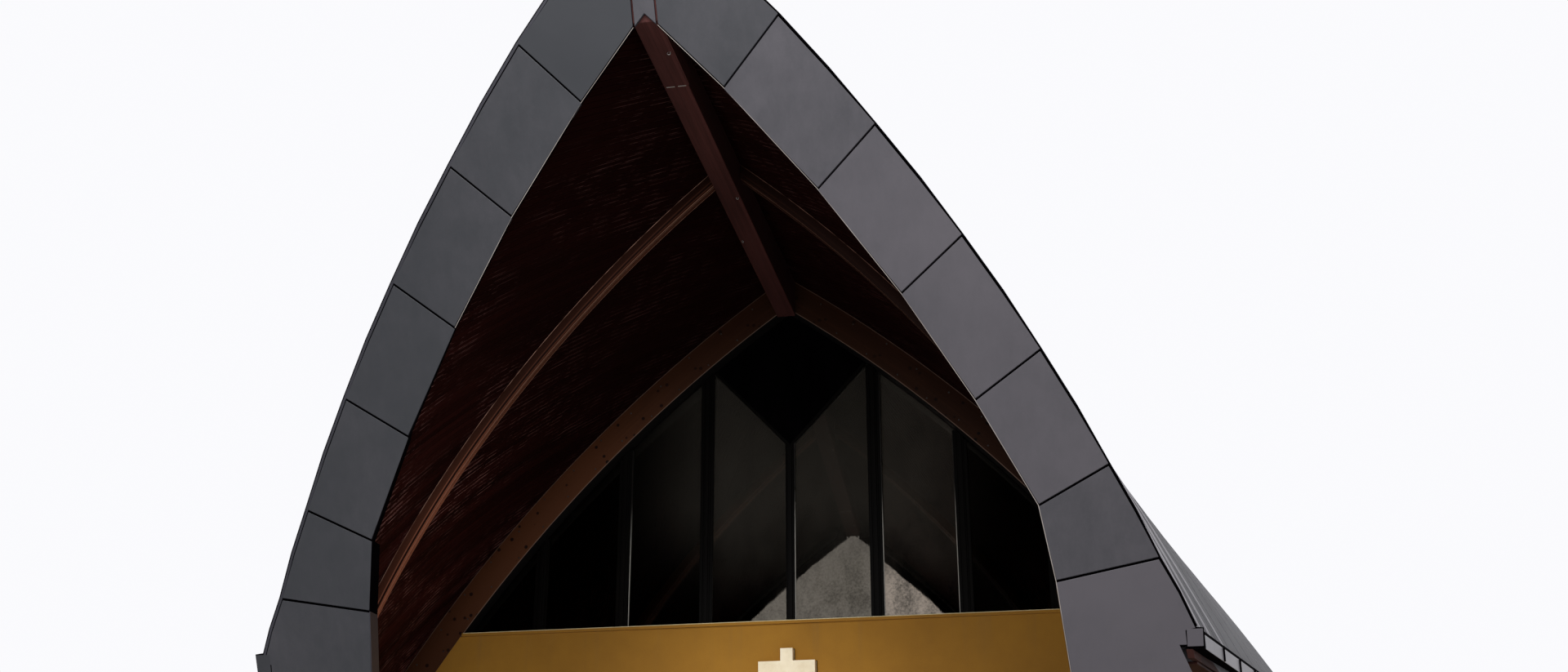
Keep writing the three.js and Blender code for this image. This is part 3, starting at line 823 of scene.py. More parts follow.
class Bench:
    """The modelling moves that the pieces share."""

    @staticmethod
    def take(piece: Piece) -> None:
        """Selects one piece alone and makes it active.

        Args:
            piece: The piece.
        """
        bpy.ops.object.select_all(action="DESELECT")
        piece.select_set(True)
        bpy.context.view_layer.objects.active = piece

    @staticmethod
    @contextmanager
    def editing(piece: Piece) -> Iterator[None]:
        """Edit mode on one piece with all of it selected.

        Args:
            piece: The piece.

        Yields:
            Once, while edit mode is on.
        """
        Bench.take(piece)
        bpy.ops.object.mode_set(mode="EDIT")
        bpy.ops.mesh.select_all(action="SELECT")
        yield
        bpy.ops.object.mode_set(mode="OBJECT")

    @staticmethod
    def outward(piece: Piece) -> None:
        """Merges doubles and turns all faces outward.

        Args:
            piece: The closed piece.
        """
        with Bench.editing(piece):
            bpy.ops.mesh.remove_doubles(threshold=DOUBLE)
            bpy.ops.mesh.normals_make_consistent(inside=False)

    @staticmethod
    def named(name: str) -> Piece:
        """Names the newest primitive and bakes its place into its mesh."""
        bpy.ops.object.transform_apply(location=True, rotation=True, scale=True)
        return Bench.renamed(bpy.context.object, name)

    @staticmethod
    def renamed(piece: Piece, name: str) -> Piece:
        """The piece under a new name."""
        piece.name = piece.data.name = name
        return piece

    @staticmethod
    def slab(name: str, outline: Sequence[Vector], push: Vector) -> Piece:
        """A flat outline pushed through its thickness.

        Args:
            name: The piece's name.
            outline: Its corners in order.
            push: The thickness as a vector.

        Returns:
            The closed piece.
        """
        bpy.ops.mesh.primitive_circle_add(vertices=len(outline), radius=1.0, fill_type="NGON")
        piece = Bench.named(name)
        for vertex, corner in zip(piece.data.vertices, outline):
            vertex.co = corner
        with Bench.editing(piece):
            bpy.ops.mesh.extrude_region_move(TRANSFORM_OT_translate={"value": push})
        Bench.outward(piece)
        return piece

    @staticmethod
    def block(name: str, low: Vector, high: Vector) -> Piece:
        """A block between two corners."""
        bpy.ops.mesh.primitive_cube_add(size=1.0, location=(low + high) / 2, scale=high - low)
        return Bench.named(name)

    @staticmethod
    def strip(name: str, size: tuple[float, float], cells: tuple[int, int]) -> Piece:
        """A flat sheet from the origin, cut into cells so that it can be laid on a curve.

        Args:
            name: The piece's name.
            size: Its length and width.
            cells: How many cells it has each way.

        Returns:
            The sheet.
        """
        bpy.ops.mesh.primitive_grid_add(
            x_subdivisions=cells[0], y_subdivisions=cells[1], size=1.0, location=(0.5, 0.5, 0.0)
        )
        piece = Bench.named(name)
        piece.data.transform(Matrix.Diagonal((*size, 1.0, 1.0)))
        return piece

    @staticmethod
    def apply(piece: Piece, kind: str, **settings: object) -> None:
        """Adds a modifier and applies it.

        Args:
            piece: The piece.
            kind: The modifier's type.
            settings: Its settings.
        """
        Bench.take(piece)
        modifier = piece.modifiers.new(kind.lower(), kind)
        for name, value in settings.items():
            setattr(modifier, name, value)
        bpy.ops.object.modifier_apply(modifier=modifier.name)

    @staticmethod
    def thicken(piece: Piece, thickness: float) -> None:
        """Gives a sheet its thickness, upward on the bench."""
        Bench.apply(piece, "SOLIDIFY", thickness=thickness, offset=1.0, use_even_offset=True)

    @staticmethod
    def bevel(piece: Piece, width: float, segments: int = 2, angle: float = 35.0) -> None:
        """Rounds the edges that are sharper than an angle."""
        limit = {"limit_method": "ANGLE", "angle_limit": math.radians(angle)}
        Bench.apply(piece, "BEVEL", width=width, segments=segments, **limit)

    @staticmethod
    def repeat(piece: Piece, count: int, step: Sequence[float], merge: bool = False) -> None:
        """Repeats a piece in a straight row.

        Args:
            piece: The piece.
            count: How many there are in the row.
            step: From each to the next.
            merge: Whether points that meet become one.
        """
        Bench.apply(
            piece, "ARRAY", count=count, use_relative_offset=False, use_constant_offset=True,
            constant_offset_displace=step, use_merge_vertices=merge, merge_threshold=0.0005,
        )

    @staticmethod
    def keep_flat(piece: Piece) -> None:
        """Keeps each point's place on the bench for the grain, unless that is done already.

        Args:
            piece: The piece.
        """
        if "flat" not in piece.data.attributes:
            flat = piece.data.attributes.new("flat", "FLOAT_VECTOR", "POINT")
            for vertex, kept in zip(piece.data.vertices, flat.data):
                kept.vector = vertex.co

    @staticmethod
    def lay(piece: Piece, place: Place) -> None:
        """Moves a piece from the bench to its place, point by point.

        Args:
            piece: The piece.
            place: Gives the place of each point.
        """
        Bench.keep_flat(piece)
        for vertex in piece.data.vertices:
            vertex.co = place(*vertex.co)
        Bench.outward(piece)

    @staticmethod
    def cut(piece: Piece, point: Sequence[float], normal: Sequence[float], cap: bool = False) -> None:
        """Cuts off all that lies beyond a plane, on the side its normal points to."""
        with Bench.editing(piece):
            bpy.ops.mesh.bisect(plane_co=point, plane_no=normal, clear_outer=True, use_fill=cap)

    @staticmethod
    def tone(piece: Piece, value: float) -> None:
        """Gives a whole piece one tone.

        Args:
            piece: The piece.
            value: The tone, from dark at 0 to light at 1.
        """
        kept = piece.data.attributes.new("tone", "FLOAT", "POINT")
        for item in kept.data:
            item.value = value

    @staticmethod
    def again(piece: Piece, name: str, move: Matrix) -> Piece:
        """A copy of a piece with its own mesh.

        Args:
            piece: The piece.
            name: The copy's name.
            move: Where the copy goes.

        Returns:
            The copy.
        """
        other = piece.copy()
        other.data = piece.data.copy()
        bpy.context.scene.collection.objects.link(other)
        other.data.transform(move)
        return Bench.renamed(other, name)

    @staticmethod
    def twin(piece: Piece, name: str) -> Piece:
        """The mirror image of a piece on the other side of the axis.

        Args:
            piece: The piece.
            name: The image's name.

        Returns:
            The image.
        """
        other = Bench.again(piece, name, Matrix.Scale(-1.0, 4, Vector((1.0, 0.0, 0.0))))
        other.data.flip_normals()
        return other

    @staticmethod
    def join(name: str, pieces: Sequence[Piece]) -> Piece:
        """Joins pieces into one.

        Args:
            name: The new name.
            pieces: The pieces.

        Returns:
            The one piece.
        """
        Bench.take(pieces[0])
        for piece in pieces:
            piece.select_set(True)
        if len(pieces) > 1:
            bpy.ops.object.join()
        return Bench.renamed(pieces[0], name)

    @staticmethod
    def from_node(node: str, name: str) -> Piece:
        """A merged copy of a solid of the frame, its flat faces whole again.

        Args:
            node: The solid.
            name: The copy's name.

        Returns:
            The copy.
        """
        piece = bpy.data.objects.new(name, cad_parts[node].data.copy())
        bpy.context.scene.collection.objects.link(piece)
        with Bench.editing(piece):
            bpy.ops.mesh.remove_doubles(threshold=DOUBLE)
            bpy.ops.mesh.dissolve_limited(angle_limit=math.radians(0.3))
            bpy.ops.mesh.normals_make_consistent(inside=False)
        return Bench.renamed(piece, name)

    @staticmethod
    def inset(piece: Piece, faces: Sequence[Face], thickness: float, depth: float) -> None:
        """Insets faces one by one.

        Args:
            piece: The piece.
            faces: The faces, which keep their numbers.
            thickness: Width of the new rim.
            depth: How far the faces rise, negative to sink them.
        """
        chosen = [face.index for face in faces]
        Bench.take(piece)
        bpy.ops.object.mode_set(mode="EDIT")
        bpy.ops.mesh.select_mode(type="FACE")
        bpy.ops.mesh.select_all(action="DESELECT")
        bpy.ops.object.mode_set(mode="OBJECT")
        for face in piece.data.polygons:
            face.select = face.index in chosen
        bpy.ops.object.mode_set(mode="EDIT")
        bpy.ops.mesh.inset(thickness=thickness, depth=depth, use_individual=True)
        bpy.ops.object.mode_set(mode="OBJECT")

    @staticmethod
    def smooth(piece: Piece, angle: float = 25.0) -> None:
        """Shades the curved faces smooth and keeps the sharp edges."""
        Bench.take(piece)
        bpy.ops.object.shade_smooth_by_angle(angle=math.radians(angle))

    @staticmethod
    def fit(piece: Piece, finish: Finish, slot: str, nodes: Sequence[str] = ()) -> None:
        """Gives a finished piece its finish and its place in the frame.

        Args:
            piece: The finished piece.
            finish: Its finish.
            slot: The record's material slot; not used.
            nodes: The solids that it stands for.
        """
        piece.data.materials.clear()
        piece.data.materials.append(finish.material())
        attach(piece, "root")
        if nodes:
            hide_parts(*nodes)
        log.info("%s: %d faces, %s", piece.name, len(piece.data.polygons), finish.name)

    @staticmethod
    def fit_both(
        piece: Piece, finish: Finish, slot: str, node: str = "", left_finish: Finish | None = None
    ) -> None:
        """Fits a piece of the right side, and its mirror image on the left.

        Args:
            piece: The finished piece, whose name ends in its side.
            finish: Its finish.
            slot: The record's material slot.
            node: The solids that both stand for, without their side.
            left_finish: The image's finish, where it has another one.
        """
        stem = piece.name.removesuffix(Side.RIGHT.word)
        left = Bench.twin(piece, stem + Side.LEFT.word)
        for side, made, chosen in ((Side.RIGHT, piece, finish), (Side.LEFT, left, left_finish or finish)):
            Bench.fit(made, chosen, slot, [f"{node}_{side.word}"] if node else [])

    @staticmethod
    def paint_node(node: str, finish: Finish) -> None:
        """Gives a solid of the frame its finish.

        Args:
            node: The solid, which stays.
            finish: Its finish.
        """
        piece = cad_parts[node]
        if not piece.material_slots:
            piece.data.materials.append(None)
        for slot in piece.material_slots:
            slot.material = finish.material()
        log.info("%s keeps its solid, %s", node, finish.name)


@dataclass(frozen=True)
class RimSheet:
    """A strip of sheet that lies on the porch roof behind the panels."""

    word: str
    start: float
    width: float
    thickness: float
    finish: Finish
    rises: bool = False


@dataclass(frozen=True)
class PorchFront:
    """The leaning arch: a dark carcass, flat panels with open joints, a key piece and sheets on its rim."""

    layout: Layout
    outer_turns: tuple[float, ...] = (25.74, 28.27, 31.45, 34.75, 38.12, 41.65)
    outer_lifts: tuple[float, ...] = (0.026, 0.036, 0.053, 0.058, 0.052, 0.048, 0.0)
    inner_turns: tuple[float, ...] = (27.37, 31.18, 35.2, 39.37, 43.73)
    knee: Point = (4.06, 5.18)
    leg_inner: tuple[Point, ...] = ((4.6, 0.0), (4.139, 4.435))
    leg_joints: tuple[float, ...] = (0.0, 1.33, 2.66, 4.0)
    leg_inset: float = 0.22
    shoulder: Point = (5.554, 4.674)
    beside_gutter: Point = (5.425, 4.643)
    under_gutter: Point = (5.434, 4.471)
    key_half: float = 0.135
    joint: float = 0.027
    panel: float = 0.03
    bulge: float = 0.016
    round_edge: float = 0.004
    edge_strip: float = 0.042
    edge_line: float = 0.012
    edge_line_right: float = 0.024
    edge_trim: float = 0.009
    leaf: float = 0.075
    tuck: float = 0.22
    # Each panel's tone: partly its own, partly painted sheen that makes the right side lighter than the left.
    tones_left: tuple[float, ...] = (0.3, 0.25, 0.3, 0.32, 0.2, 0.2, 0.15, 0.12, 0.05, -0.35)
    tones_right: tuple[float, ...] = (0.6, 0.5, 0.6, 0.85, 0.05, 0.55, 0.6, 0.7, 0.45, -0.1)
    rim_steps: int = 28
    carcass_steps: int = 24
    foot_in: float = 0.02
    notch_in: float = 0.015
    clear: float = 0.001
    sheet: float = 0.002
    shoulder_lift: float = 0.045
    verge_drop: float = 0.012
    backing_outer: tuple[float, float] = (-0.006, -0.11)
    backing_inner: tuple[float, float] = (0.011, 0.27)
    key_core: float = 0.8
    # The first, near-black strip is painted shadow: the gap between the panels and the verge.
    sheets: tuple[RimSheet, ...] = (
        RimSheet("edge", 0.004, 0.026, 0.03, LINING_AND_SHADE), RimSheet("verge", 0.034, 0.36, 0.012, FLASHING, True),
        RimSheet("lap_1", 0.62, 0.03, 0.034, FLASHING), RimSheet("lap_2", 1.12, 0.025, 0.024, FLASHING),
        RimSheet("lap_3", 1.75, 0.025, 0.02, FLASHING),
    )

    def _leg_x(self, z: float) -> float:
        """Outer edge of the leg at a height."""
        arc = self.layout.porch
        return Arc(arc.beyond, arc.down, arc.radius - self.leg_inset).x_at(z)

    def _leg_inner_x(self, z: float) -> float:
        """Inner edge of the leg at a height."""
        (x0, z0), (x1, z1) = self.leg_inner
        return x0 + (x1 - x0) * (z - z0) / (z1 - z0)

    def _joints(self) -> tuple[list[Point], list[Point]]:
        """The joints above the knee.

        Returns:
            Their outer ends and their inner ends.
        """
        arc, inside = self.layout.porch, self.layout.porch_inner
        edge = zip(self.outer_turns, self.outer_lifts)
        outer = [arc.point(math.radians(turn), lift) for turn, lift in edge]
        inner = [self.knee] + [inside.point(math.radians(turn)) for turn in self.inner_turns]
        outer.append((self.key_half, arc.z_at(self.key_half) + self.outer_lifts[-1]))
        inner.append((self.key_half, inside.z_at(self.key_half)))
        return outer, inner

    def _rim(self, out: float) -> list[Point]:
        """The rim from the gutter to the key, with a corner at each joint and one half way along each panel.

        Args:
            out: How far the line lies outside the panels.

        Returns:
            The line's points.
        """
        line = [self.shoulder, *self._joints()[0]]
        points = []
        for a, b in zip(line, line[1:]):
            away = Vector((b[1] - a[1], a[0] - b[0])).normalized()
            points.append(tuple(Vector(a) + away * out))
            points.append(tuple(Vector(a).lerp(Vector(b), 0.5) + away * (out + self.bulge)))
        points.append((line[-1][0], line[-1][1] + out))
        return points

    def _panel_outlines(self, rim_out: float) -> list[list[Point]]:
        """The panels on the right, from the ground up.

        Args:
            rim_out: How far the rim's line is moved out.

        Returns:
            The corners of each.
        """
        trim, low, foot = self.edge_trim, self.under_gutter[1], self.leg_joints[-1]
        outlines = []
        for z0, z1 in zip(self.leg_joints, self.leg_joints[1:]):
            outlines.append([
                (self._leg_inner_x(z0) + trim, z0), (self._leg_x(z0), z0), (self._leg_x(z1), z1),
                (self._leg_inner_x(z1) + trim, z1),
            ])
        inner = [(x + trim, z) for x, z in self._joints()[1]]
        rim = self._rim(rim_out)
        knee = (self.leg_inner[1][0] + trim, self.leg_inner[1][1])
        outlines.append([
            (self._leg_inner_x(foot) + trim, foot), (self._leg_x(foot), foot), (self._leg_x(low), low),
            self.under_gutter, self.beside_gutter, *rim[:3], inner[0], knee,
        ])
        for i in range(len(inner) - 1):
            outlines.append([inner[i], *rim[2 * i + 2:2 * i + 5], inner[i + 1]])
        return outlines

    def _shrunk(self, outline: list[Point]) -> list[Point]:
        """The outline drawn in by half a joint on its lower and upper edges."""
        middle = sum(z for _, z in outline) / len(outline)
        return [(x, z + self.joint / 2 * (1 if middle > z else -1)) for x, z in outline]

    def _flat(self, name: str, side: Side, outline: Sequence[Point], back: float, depth: float) -> Piece:
        """A slab that follows the leaning face.

        Args:
            name: Its name.
            side: The side that it is on.
            outline: Its corners as on the right.
            back: How far it lies behind the face.
            depth: How deep it is.

        Returns:
            The slab.
        """
        corners = [self.layout.on_face((side.value * x, z), back) for x, z in outline]
        return Bench.slab(name, corners, Vector((0.0, depth, 0.0)))

    def _panels(self, side: Side) -> None:
        """The flat panels of one side.

        Args:
            side: The side.
        """
        tones, strip = self.tones_right, self.edge_line_right
        if side is Side.LEFT:
            tones, strip = self.tones_left, self.edge_strip
        made = []
        for number, outline in enumerate(self._panel_outlines(-strip)):
            panel = self._flat(f"panel_{number}", side, self._shrunk(outline), 0.0, self.panel)
            Bench.bevel(panel, self.round_edge, 2)
            Bench.tone(panel, tones[number])
            made.append(panel)
        name = f"porch_panels_{side.word}"
        Bench.fit(Bench.join(name, made), CLADDING, "cladding", [f"front_arch_{side.word}"])

    def _returns(self, side: Side, line: Sequence[Point]) -> list[Piece]:
        """The narrow faces that run back from the panels' inner edge. Fits the lowest as a piece of its own.

        Args:
            side: The side.
            line: The inner edge on the right, from the ground up.

        Returns:
            The others, for the carcass.
        """
        start, whole, made = 3 * self.clear, self.layout.fascia_depth, []
        runs = ((line[:3], whole), (line[2:4], whole), (line[3:5], self.leaf), (line[4:], self.panel + 0.004))
        for points, end in runs:
            outline = [*points, *[(x + self.edge_trim - self.clear, z) for x, z in reversed(points)]]
            made.append(self._flat("return", side, outline, start, end - start))
        lowest = Bench.renamed(made.pop(0), f"leg_return_{side.word}")
        Bench.tone(lowest, 0.9)
        Bench.fit(lowest, EDGE_SHEET, "cladding")
        return made

    def _carcass(self, side: Side) -> None:
        """The dark frame behind the panels, thin at their inner edge, and the sheet on its back and sides.

        Args:
            side: The side.
        """
        layout, steps = self.layout, self.carcass_steps
        line = [*self.leg_inner, *self._joints()[1]]
        layers = self._returns(side, line)
        low, high = layout.porch.turn_at(self.shoulder[1]), layout.porch.turn_by(self.key_half)
        edge = [layout.porch.point(low + (high - low) * i / steps) for i in range(steps + 1)]
        foot = [(self._leg_x(z) - self.foot_in, z) for z in (0.0, 1.5, 3.0, self.under_gutter[1])]
        notch = [(x - self.notch_in, z) for x, z in (self.under_gutter, self.beside_gutter)]
        tucked = [0.1] * 2 + [self.tuck] * (len(line) - 2)
        flush = [self.edge_trim] * 5 + tucked[5:]
        for start, end, offsets in (
            (self.panel + 0.002, self.leaf, flush), (self.leaf + 0.0005, layout.fascia_depth, tucked),
        ):
            inside = [(x + offset, z) for (x, z), offset in zip(line, offsets)]
            outline = [*foot, *notch, *edge, *reversed(inside)]
            layers.append(self._flat("layer", side, outline, start, end - start))
        back = Bench.renamed(layers.pop(), f"porch_back_{side.word}")
        Bench.tone(back, 0.4)
        Bench.fit(back, CLADDING, "cladding")
        Bench.fit(Bench.join(f"porch_carcass_{side.word}", layers), LINING_AND_SHADE, "dark_frame")

    def _edges(self) -> None:
        """The narrow strips in the plane of the panels: a dark strip along the left rim, near-black lines
        along both rims painted as the shadow gap under the verge, and pale strips along the inner edges
        painted as highlights, lighter on the right.
        """
        inner = [*self.leg_inner, *self._joints()[1]]
        trim = [(x + self.edge_trim - self.clear, z) for x, z in inner]
        rim, line, wide = self._rim(0.0), self.edge_line, self.edge_line_right
        strip = (self._rim(-line), self._rim(0.004 - self.edge_strip))
        for name, side, outside, inside, depth, tone, finish in (
            ("edge_strip_left", Side.LEFT, *strip, self.panel, 0.4, EDGE_SHEET),
            ("edge_line_left", Side.LEFT, rim, self._rim(0.001 - line), self.panel, 0.4, LINING_AND_SHADE),
            ("edge_line_right", Side.RIGHT, rim, self._rim(0.003 - wide), self.panel, 0.4, LINING_AND_SHADE),
            ("edge_trim_left", Side.LEFT, trim[5:], inner[5:], self.sheet, 0.0, EDGE_HIGHLIGHT),
            ("edge_trim_right", Side.RIGHT, trim, inner, self.sheet, 1.0, EDGE_HIGHLIGHT),
        ):
            piece = self._flat(name, side, [*outside, *reversed(inside)], 0.0005, depth)
            Bench.tone(piece, tone)
            Bench.fit(piece, finish, "cladding")

    def _rim_lift(self, turn: float) -> float:
        """How far the panels' rim stands over the roof.

        Args:
            turn: The turn about the arc's centre, in radians.

        Returns:
            The lift.
        """
        arc = self.layout.porch
        turns = [arc.turn_at(self.shoulder[1]), *(math.radians(joint) for joint in self.outer_turns)]
        turns.append(arc.turn_by(self.key_half))
        lifts = [self.shoulder_lift, *self.outer_lifts]
        for (a, low), (b, high) in zip(zip(turns, lifts), zip(turns[1:], lifts[1:])):
            if turn <= b:
                return low + (high - low) * max(0.0, turn - a) / (b - a)
        return lifts[-1]

    def _rim_sheets(self) -> None:
        """A pale verge band behind the panels, level with their rim, and low laps farther back."""
        layout = self.layout
        vault = VaultSide(layout, layout.porch, layout.nave, self.shoulder[1] - 0.03, self.key_half)
        slope = vault.slope
        low, high = layout.porch.turn_at(self.shoulder[1]), layout.porch.turn_by(self.key_half)
        for sheet in self.sheets:
            made = Bench.strip(f"{sheet.word}_sheet_right", (slope, sheet.width), (self.rim_steps, 1))
            Bench.thicken(made, sheet.thickness)
            for vertex in made.data.vertices if sheet.rises else ():
                turn = low + (high - low) * vertex.co.x / slope
                vertex.co.z += max(self.sheet, self._rim_lift(turn) - self.verge_drop - sheet.thickness)
            Bench.bevel(made, 0.003, 1)
            start = sheet.start - layout.fascia_depth
            Bench.lay(made, lambda up, back, lift: vault.lay_at(
                up / slope, vault.front_depth(up / slope, lift) + start + back, lift
            ))
            Bench.tone(made, 0.6)
            Bench.fit_both(made, sheet.finish, "cladding")

    def _rim_backing(self) -> None:
        """Dark strips behind the panels' edges that close the ends of the joints."""
        inner = self._joints()[1][1:]
        near, far = self.backing_inner
        inside = [*[(x + near, z) for x, z in inner], *[(x + far, z) for x, z in reversed(inner)]]
        near, far = self.backing_outer
        outside = [*self._rim(near), *reversed(self._rim(far))]
        for side in Side:
            made = [
                self._flat("backing", side, outline, self.panel + self.clear, self.sheet)
                for outline in (outside, inside)
            ]
            Bench.fit(Bench.join(f"rim_backing_{side.word}", made), LINING_AND_SHADE, "dark_frame")

    def _key(self) -> None:
        """The narrow piece at the apex."""
        layout, half = self.layout, self.key_half - self.joint / 2
        inside, lift = layout.porch_inner, self.outer_lifts[-1]
        high, top = layout.porch.z_at(half) + lift, layout.porch.z_at(half) - 0.02
        outline = [
            (-half, inside.z_at(half)), (0.0, inside.z_at(0.0)), (half, inside.z_at(half)), (half, high),
            (0.0, layout.porch.z_at(0.0) + lift), (-half, high),
        ]
        plate = self._flat("key_plate", Side.RIGHT, outline, 0.0, self.panel)
        Bench.bevel(plate, self.round_edge, 2)
        block = [(-half, top - self.key_core), (half, top - self.key_core), (half, top), (-half, top)]
        back = self.panel + self.clear
        core = self._flat("key_core", Side.RIGHT, block, back, layout.fascia_depth - back)
        piece = Bench.join("porch_key", [plate, core])
        Bench.tone(piece, 0.4)
        Bench.fit(piece, CLADDING, "cladding", ["front_arch_key"])

    def build(self) -> None:
        """Builds the whole front."""
        for side in Side:
            self._panels(side)
            self._carcass(side)
        self._edges()
        self._rim_sheets()
        self._rim_backing()
        self._key()


@dataclass(frozen=True)
class SoffitBoards:
    """Slanting boards under the porch roof, one continuous field with a groove at each joint."""

    layout: Layout
    pitch: float = BOARD_PITCH
    groove: float = 0.012
    groove_depth: float = 0.009
    thickness: float = 0.03
    segment: float = 0.55
    slant: float = 45.0
    front_cuts: int = 6

    def build(self) -> None:
        """Builds both sides from one field of boards."""
        layout = self.layout
        arc_front, arc_back = layout.porch_soffit, layout.nave_soffit
        vault = VaultSide(layout, arc_front, arc_back, layout.eave_bottom, layout.ridge_half + 0.0004)
        slope, deepest = vault.slope, -vault.front_depth(1.0) - 0.2
        span = math.hypot(slope, deepest) + 0.5
        columns = int(span / self.segment)
        board = Bench.strip("boards", (span, 1.0), (columns, 3))
        profile = [
            (0.0, 0.0), (self.pitch - self.groove, 0.0), (self.pitch - self.groove / 2, self.groove_depth),
            (self.pitch, 0.0),
        ]
        for vertex in board.data.vertices:
            across, depth = profile[round(vertex.co.y * 3)]
            vertex.co = (vertex.co.x, across, depth)
        count = int(2 * span / self.pitch)
        Bench.repeat(board, count, (0.0, self.pitch, 0.0), merge=True)
        Bench.keep_flat(board)
        lean = Matrix.Rotation(math.radians(90.0 - self.slant), 4, "Z")
        board.data.transform(Matrix.Translation((-span / 2, -count * self.pitch / 2, 0.0)))
        board.data.transform(Matrix.Translation((slope / 2, -deepest / 2, 0.0)) @ lean)
        Bench.cut(board, (0.0, 0.0, 0.0), (-1.0, 0.0, 0.0))
        Bench.cut(board, (slope, 0.0, 0.0), (1.0, 0.0, 0.0))
        Bench.cut(board, (0.0, layout.gable, 0.0), (0.0, 1.0, 0.0))
        for i in range(self.front_cuts):
            a, b = i / self.front_cuts, (i + 1) / self.front_cuts
            run = Vector(((b - a) * slope, vault.front_depth(b) - vault.front_depth(a), 0.0)).normalized()
            Bench.cut(board, (a * slope, vault.front_depth(a) + 0.002, 0.0), (run.y, -run.x, 0.0))
        Bench.thicken(board, self.thickness)
        Bench.lay(board, lambda up, depth, lift: vault.lay_at(up / slope, depth, lift))
        Bench.fit_both(Bench.renamed(board, "porch_boards_right"), BOARDS, "soffit_boards", "porch_soffit")


@dataclass(frozen=True)
class PorchRibs:
    """Two flanges and a near-black web painted as the shade between them, half way along the porch. The right
    rib takes a shaded copy of the timber, as painted shade.
    """

    layout: Layout
    depth: float = -4.45
    half: float = 0.12
    flanges: tuple[float, float] = (0.11, 0.067)
    gap: float = 0.022
    drop: float = 0.15
    web: float = 0.06
    cells: int = 36

    def _bar(self, name: str, start: float, width: float, drop: float) -> Piece:
        """One bar of the rib, bent under the boards on the right.

        Args:
            name: Its name.
            start: Depth of its front face.
            width: Its width.
            drop: How far it hangs down.

        Returns:
            The bar.
        """
        layout = self.layout
        front, back = layout.porch_soffit, layout.nave_soffit
        vault = VaultSide(layout, front, back, layout.eave_bottom, layout.ridge_half)
        slope = vault.slope
        bar = Bench.strip(name, (slope, width), (self.cells, 2))
        Bench.thicken(bar, drop)
        Bench.bevel(bar, 0.006, 2)
        Bench.lay(bar, lambda up, across, lift: vault.lay_at(up / slope, start + across, -lift))
        Bench.smooth(bar)
        return bar

    def build(self) -> None:
        """Builds both ribs."""
        low = self.depth - self.half
        first, second = self.flanges
        far = low + first + self.gap
        for name, start, width, drop, right, left in (
            ("front", low, first, self.drop, SHADED_RIB_TIMBER, RIB_TIMBER),
            ("back", far, second, self.drop, SHADED_RIB_TIMBER, RIB_TIMBER),
            ("web", low + first + 0.0005, self.gap - 0.001, self.web, LINING_AND_SHADE, LINING_AND_SHADE),
        ):
            bar = self._bar(f"porch_rib_{name}_right", start, width, drop)
            Bench.fit_both(bar, right, "timber", "porch_rib" if name == "front" else "", left)


@dataclass(frozen=True)
class TimberArches:
    """The arch in the gable and its repeats along the nave, with bolt heads on the front one."""

    layout: Layout
    steps: int = 44
    round_edge: float = 0.012
    bolt_radius: float = 0.014
    bolt_rows: tuple[float, ...] = (22.37, 22.66)
    bolt_pitch: float = 0.62
    bolts_from: float = 4.0
    bolts_to: float = 0.45

    def _half(self) -> Piece:
        """The right half of an arch, spun about the circle's centre and cut at ground and crown.

        Returns:
            The half, open at the crown.
        """
        layout = self.layout
        arc = layout.nave_soffit
        thickness = arc.radius - layout.nave_opening.radius
        centre = layout.at(-arc.beyond, 0.0, -arc.down)
        low, high = arc.turn_at(0.0) - 0.012, arc.turn_by(-0.3)
        corners = []
        for reach, depth in ((0.0, 0.0), (0.0, 1.0), (-1.0, 0.0), (-1.0, 1.0)):
            x, z = arc.point(low, reach * thickness)
            corners.append(layout.at(x, layout.gable + depth * layout.arch_depth, z))
        bpy.ops.mesh.primitive_plane_add(size=1.0)
        piece = Bench.named("main_arch_timber")
        for vertex, corner in zip(piece.data.vertices, corners):
            vertex.co = corner
        with Bench.editing(piece):
            bpy.ops.mesh.spin(steps=self.steps, angle=high - low, center=centre, axis=(0.0, 1.0, 0.0))
        Bench.outward(piece)
        Bench.cut(piece, (0.0, 0.0, 0.0), (0.0, 0.0, -1.0), cap=True)
        Bench.cut(piece, (0.0, 0.0, 0.0), (-1.0, 0.0, 0.0))
        return piece

    def _arch(self) -> Piece:
        """A whole arch from its two halves.

        Returns:
            The arch.
        """
        half = self._half()
        arch = Bench.join("main_arch_timber", [half, Bench.twin(half, "other_half")])
        Bench.outward(arch)
        Bench.bevel(arch, self.round_edge, 2, 40.0)
        Bench.smooth(arch, 30.0)
        return arch

    def _bolts(self) -> None:
        """Bolt heads in two rows on the front face of the gable arch."""
        layout = self.layout
        mixer = random.Random(5)
        bolts = []
        for row, radius in enumerate(self.bolt_rows):
            arc = Arc(*NAVE_CENTRE, radius)
            low, high = arc.turn_at(self.bolts_from), arc.turn_by(self.bolts_to)
            count = int((high - low) * radius / self.bolt_pitch)
            for i in range(count):
                turn = low + (high - low) * (i + 0.25 + 0.5 * row) / count
                x, z = arc.point(turn, mixer.uniform(-0.03, 0.03))
                spot = layout.at(x, layout.gable - 0.003, z)
                bpy.ops.mesh.primitive_cylinder_add(
                    vertices=10, radius=self.bolt_radius, depth=0.012, location=spot,
                    rotation=(math.pi / 2, 0.0, 0.0),
                )
                bolts.append(Bench.named(f"bolt_{row}_{i}"))
        right = Bench.join("arch_bolts_right", bolts)
        Bench.bevel(right, 0.003, 1)
        Bench.tone(right, 0.3)
        Bench.fit_both(right, STEEL, "dark_frame")

    def build(self) -> None:
        """Builds all five arches."""
        arch = self._arch()
        names = ["main_arch", "nave_arch_1", "nave_arch_2", "nave_arch_3", "rear_arch"]
        for number, node in enumerate(names[1:], 1):
            move = Matrix.Translation((0.0, number * self.layout.bay, 0.0))
            Bench.fit(Bench.again(arch, f"{node}_timber", move), ARCH_TIMBER, "timber", [node])
        Bench.fit(arch, MAIN_ARCH_TIMBER, "timber", names[:1])
        self._bolts()


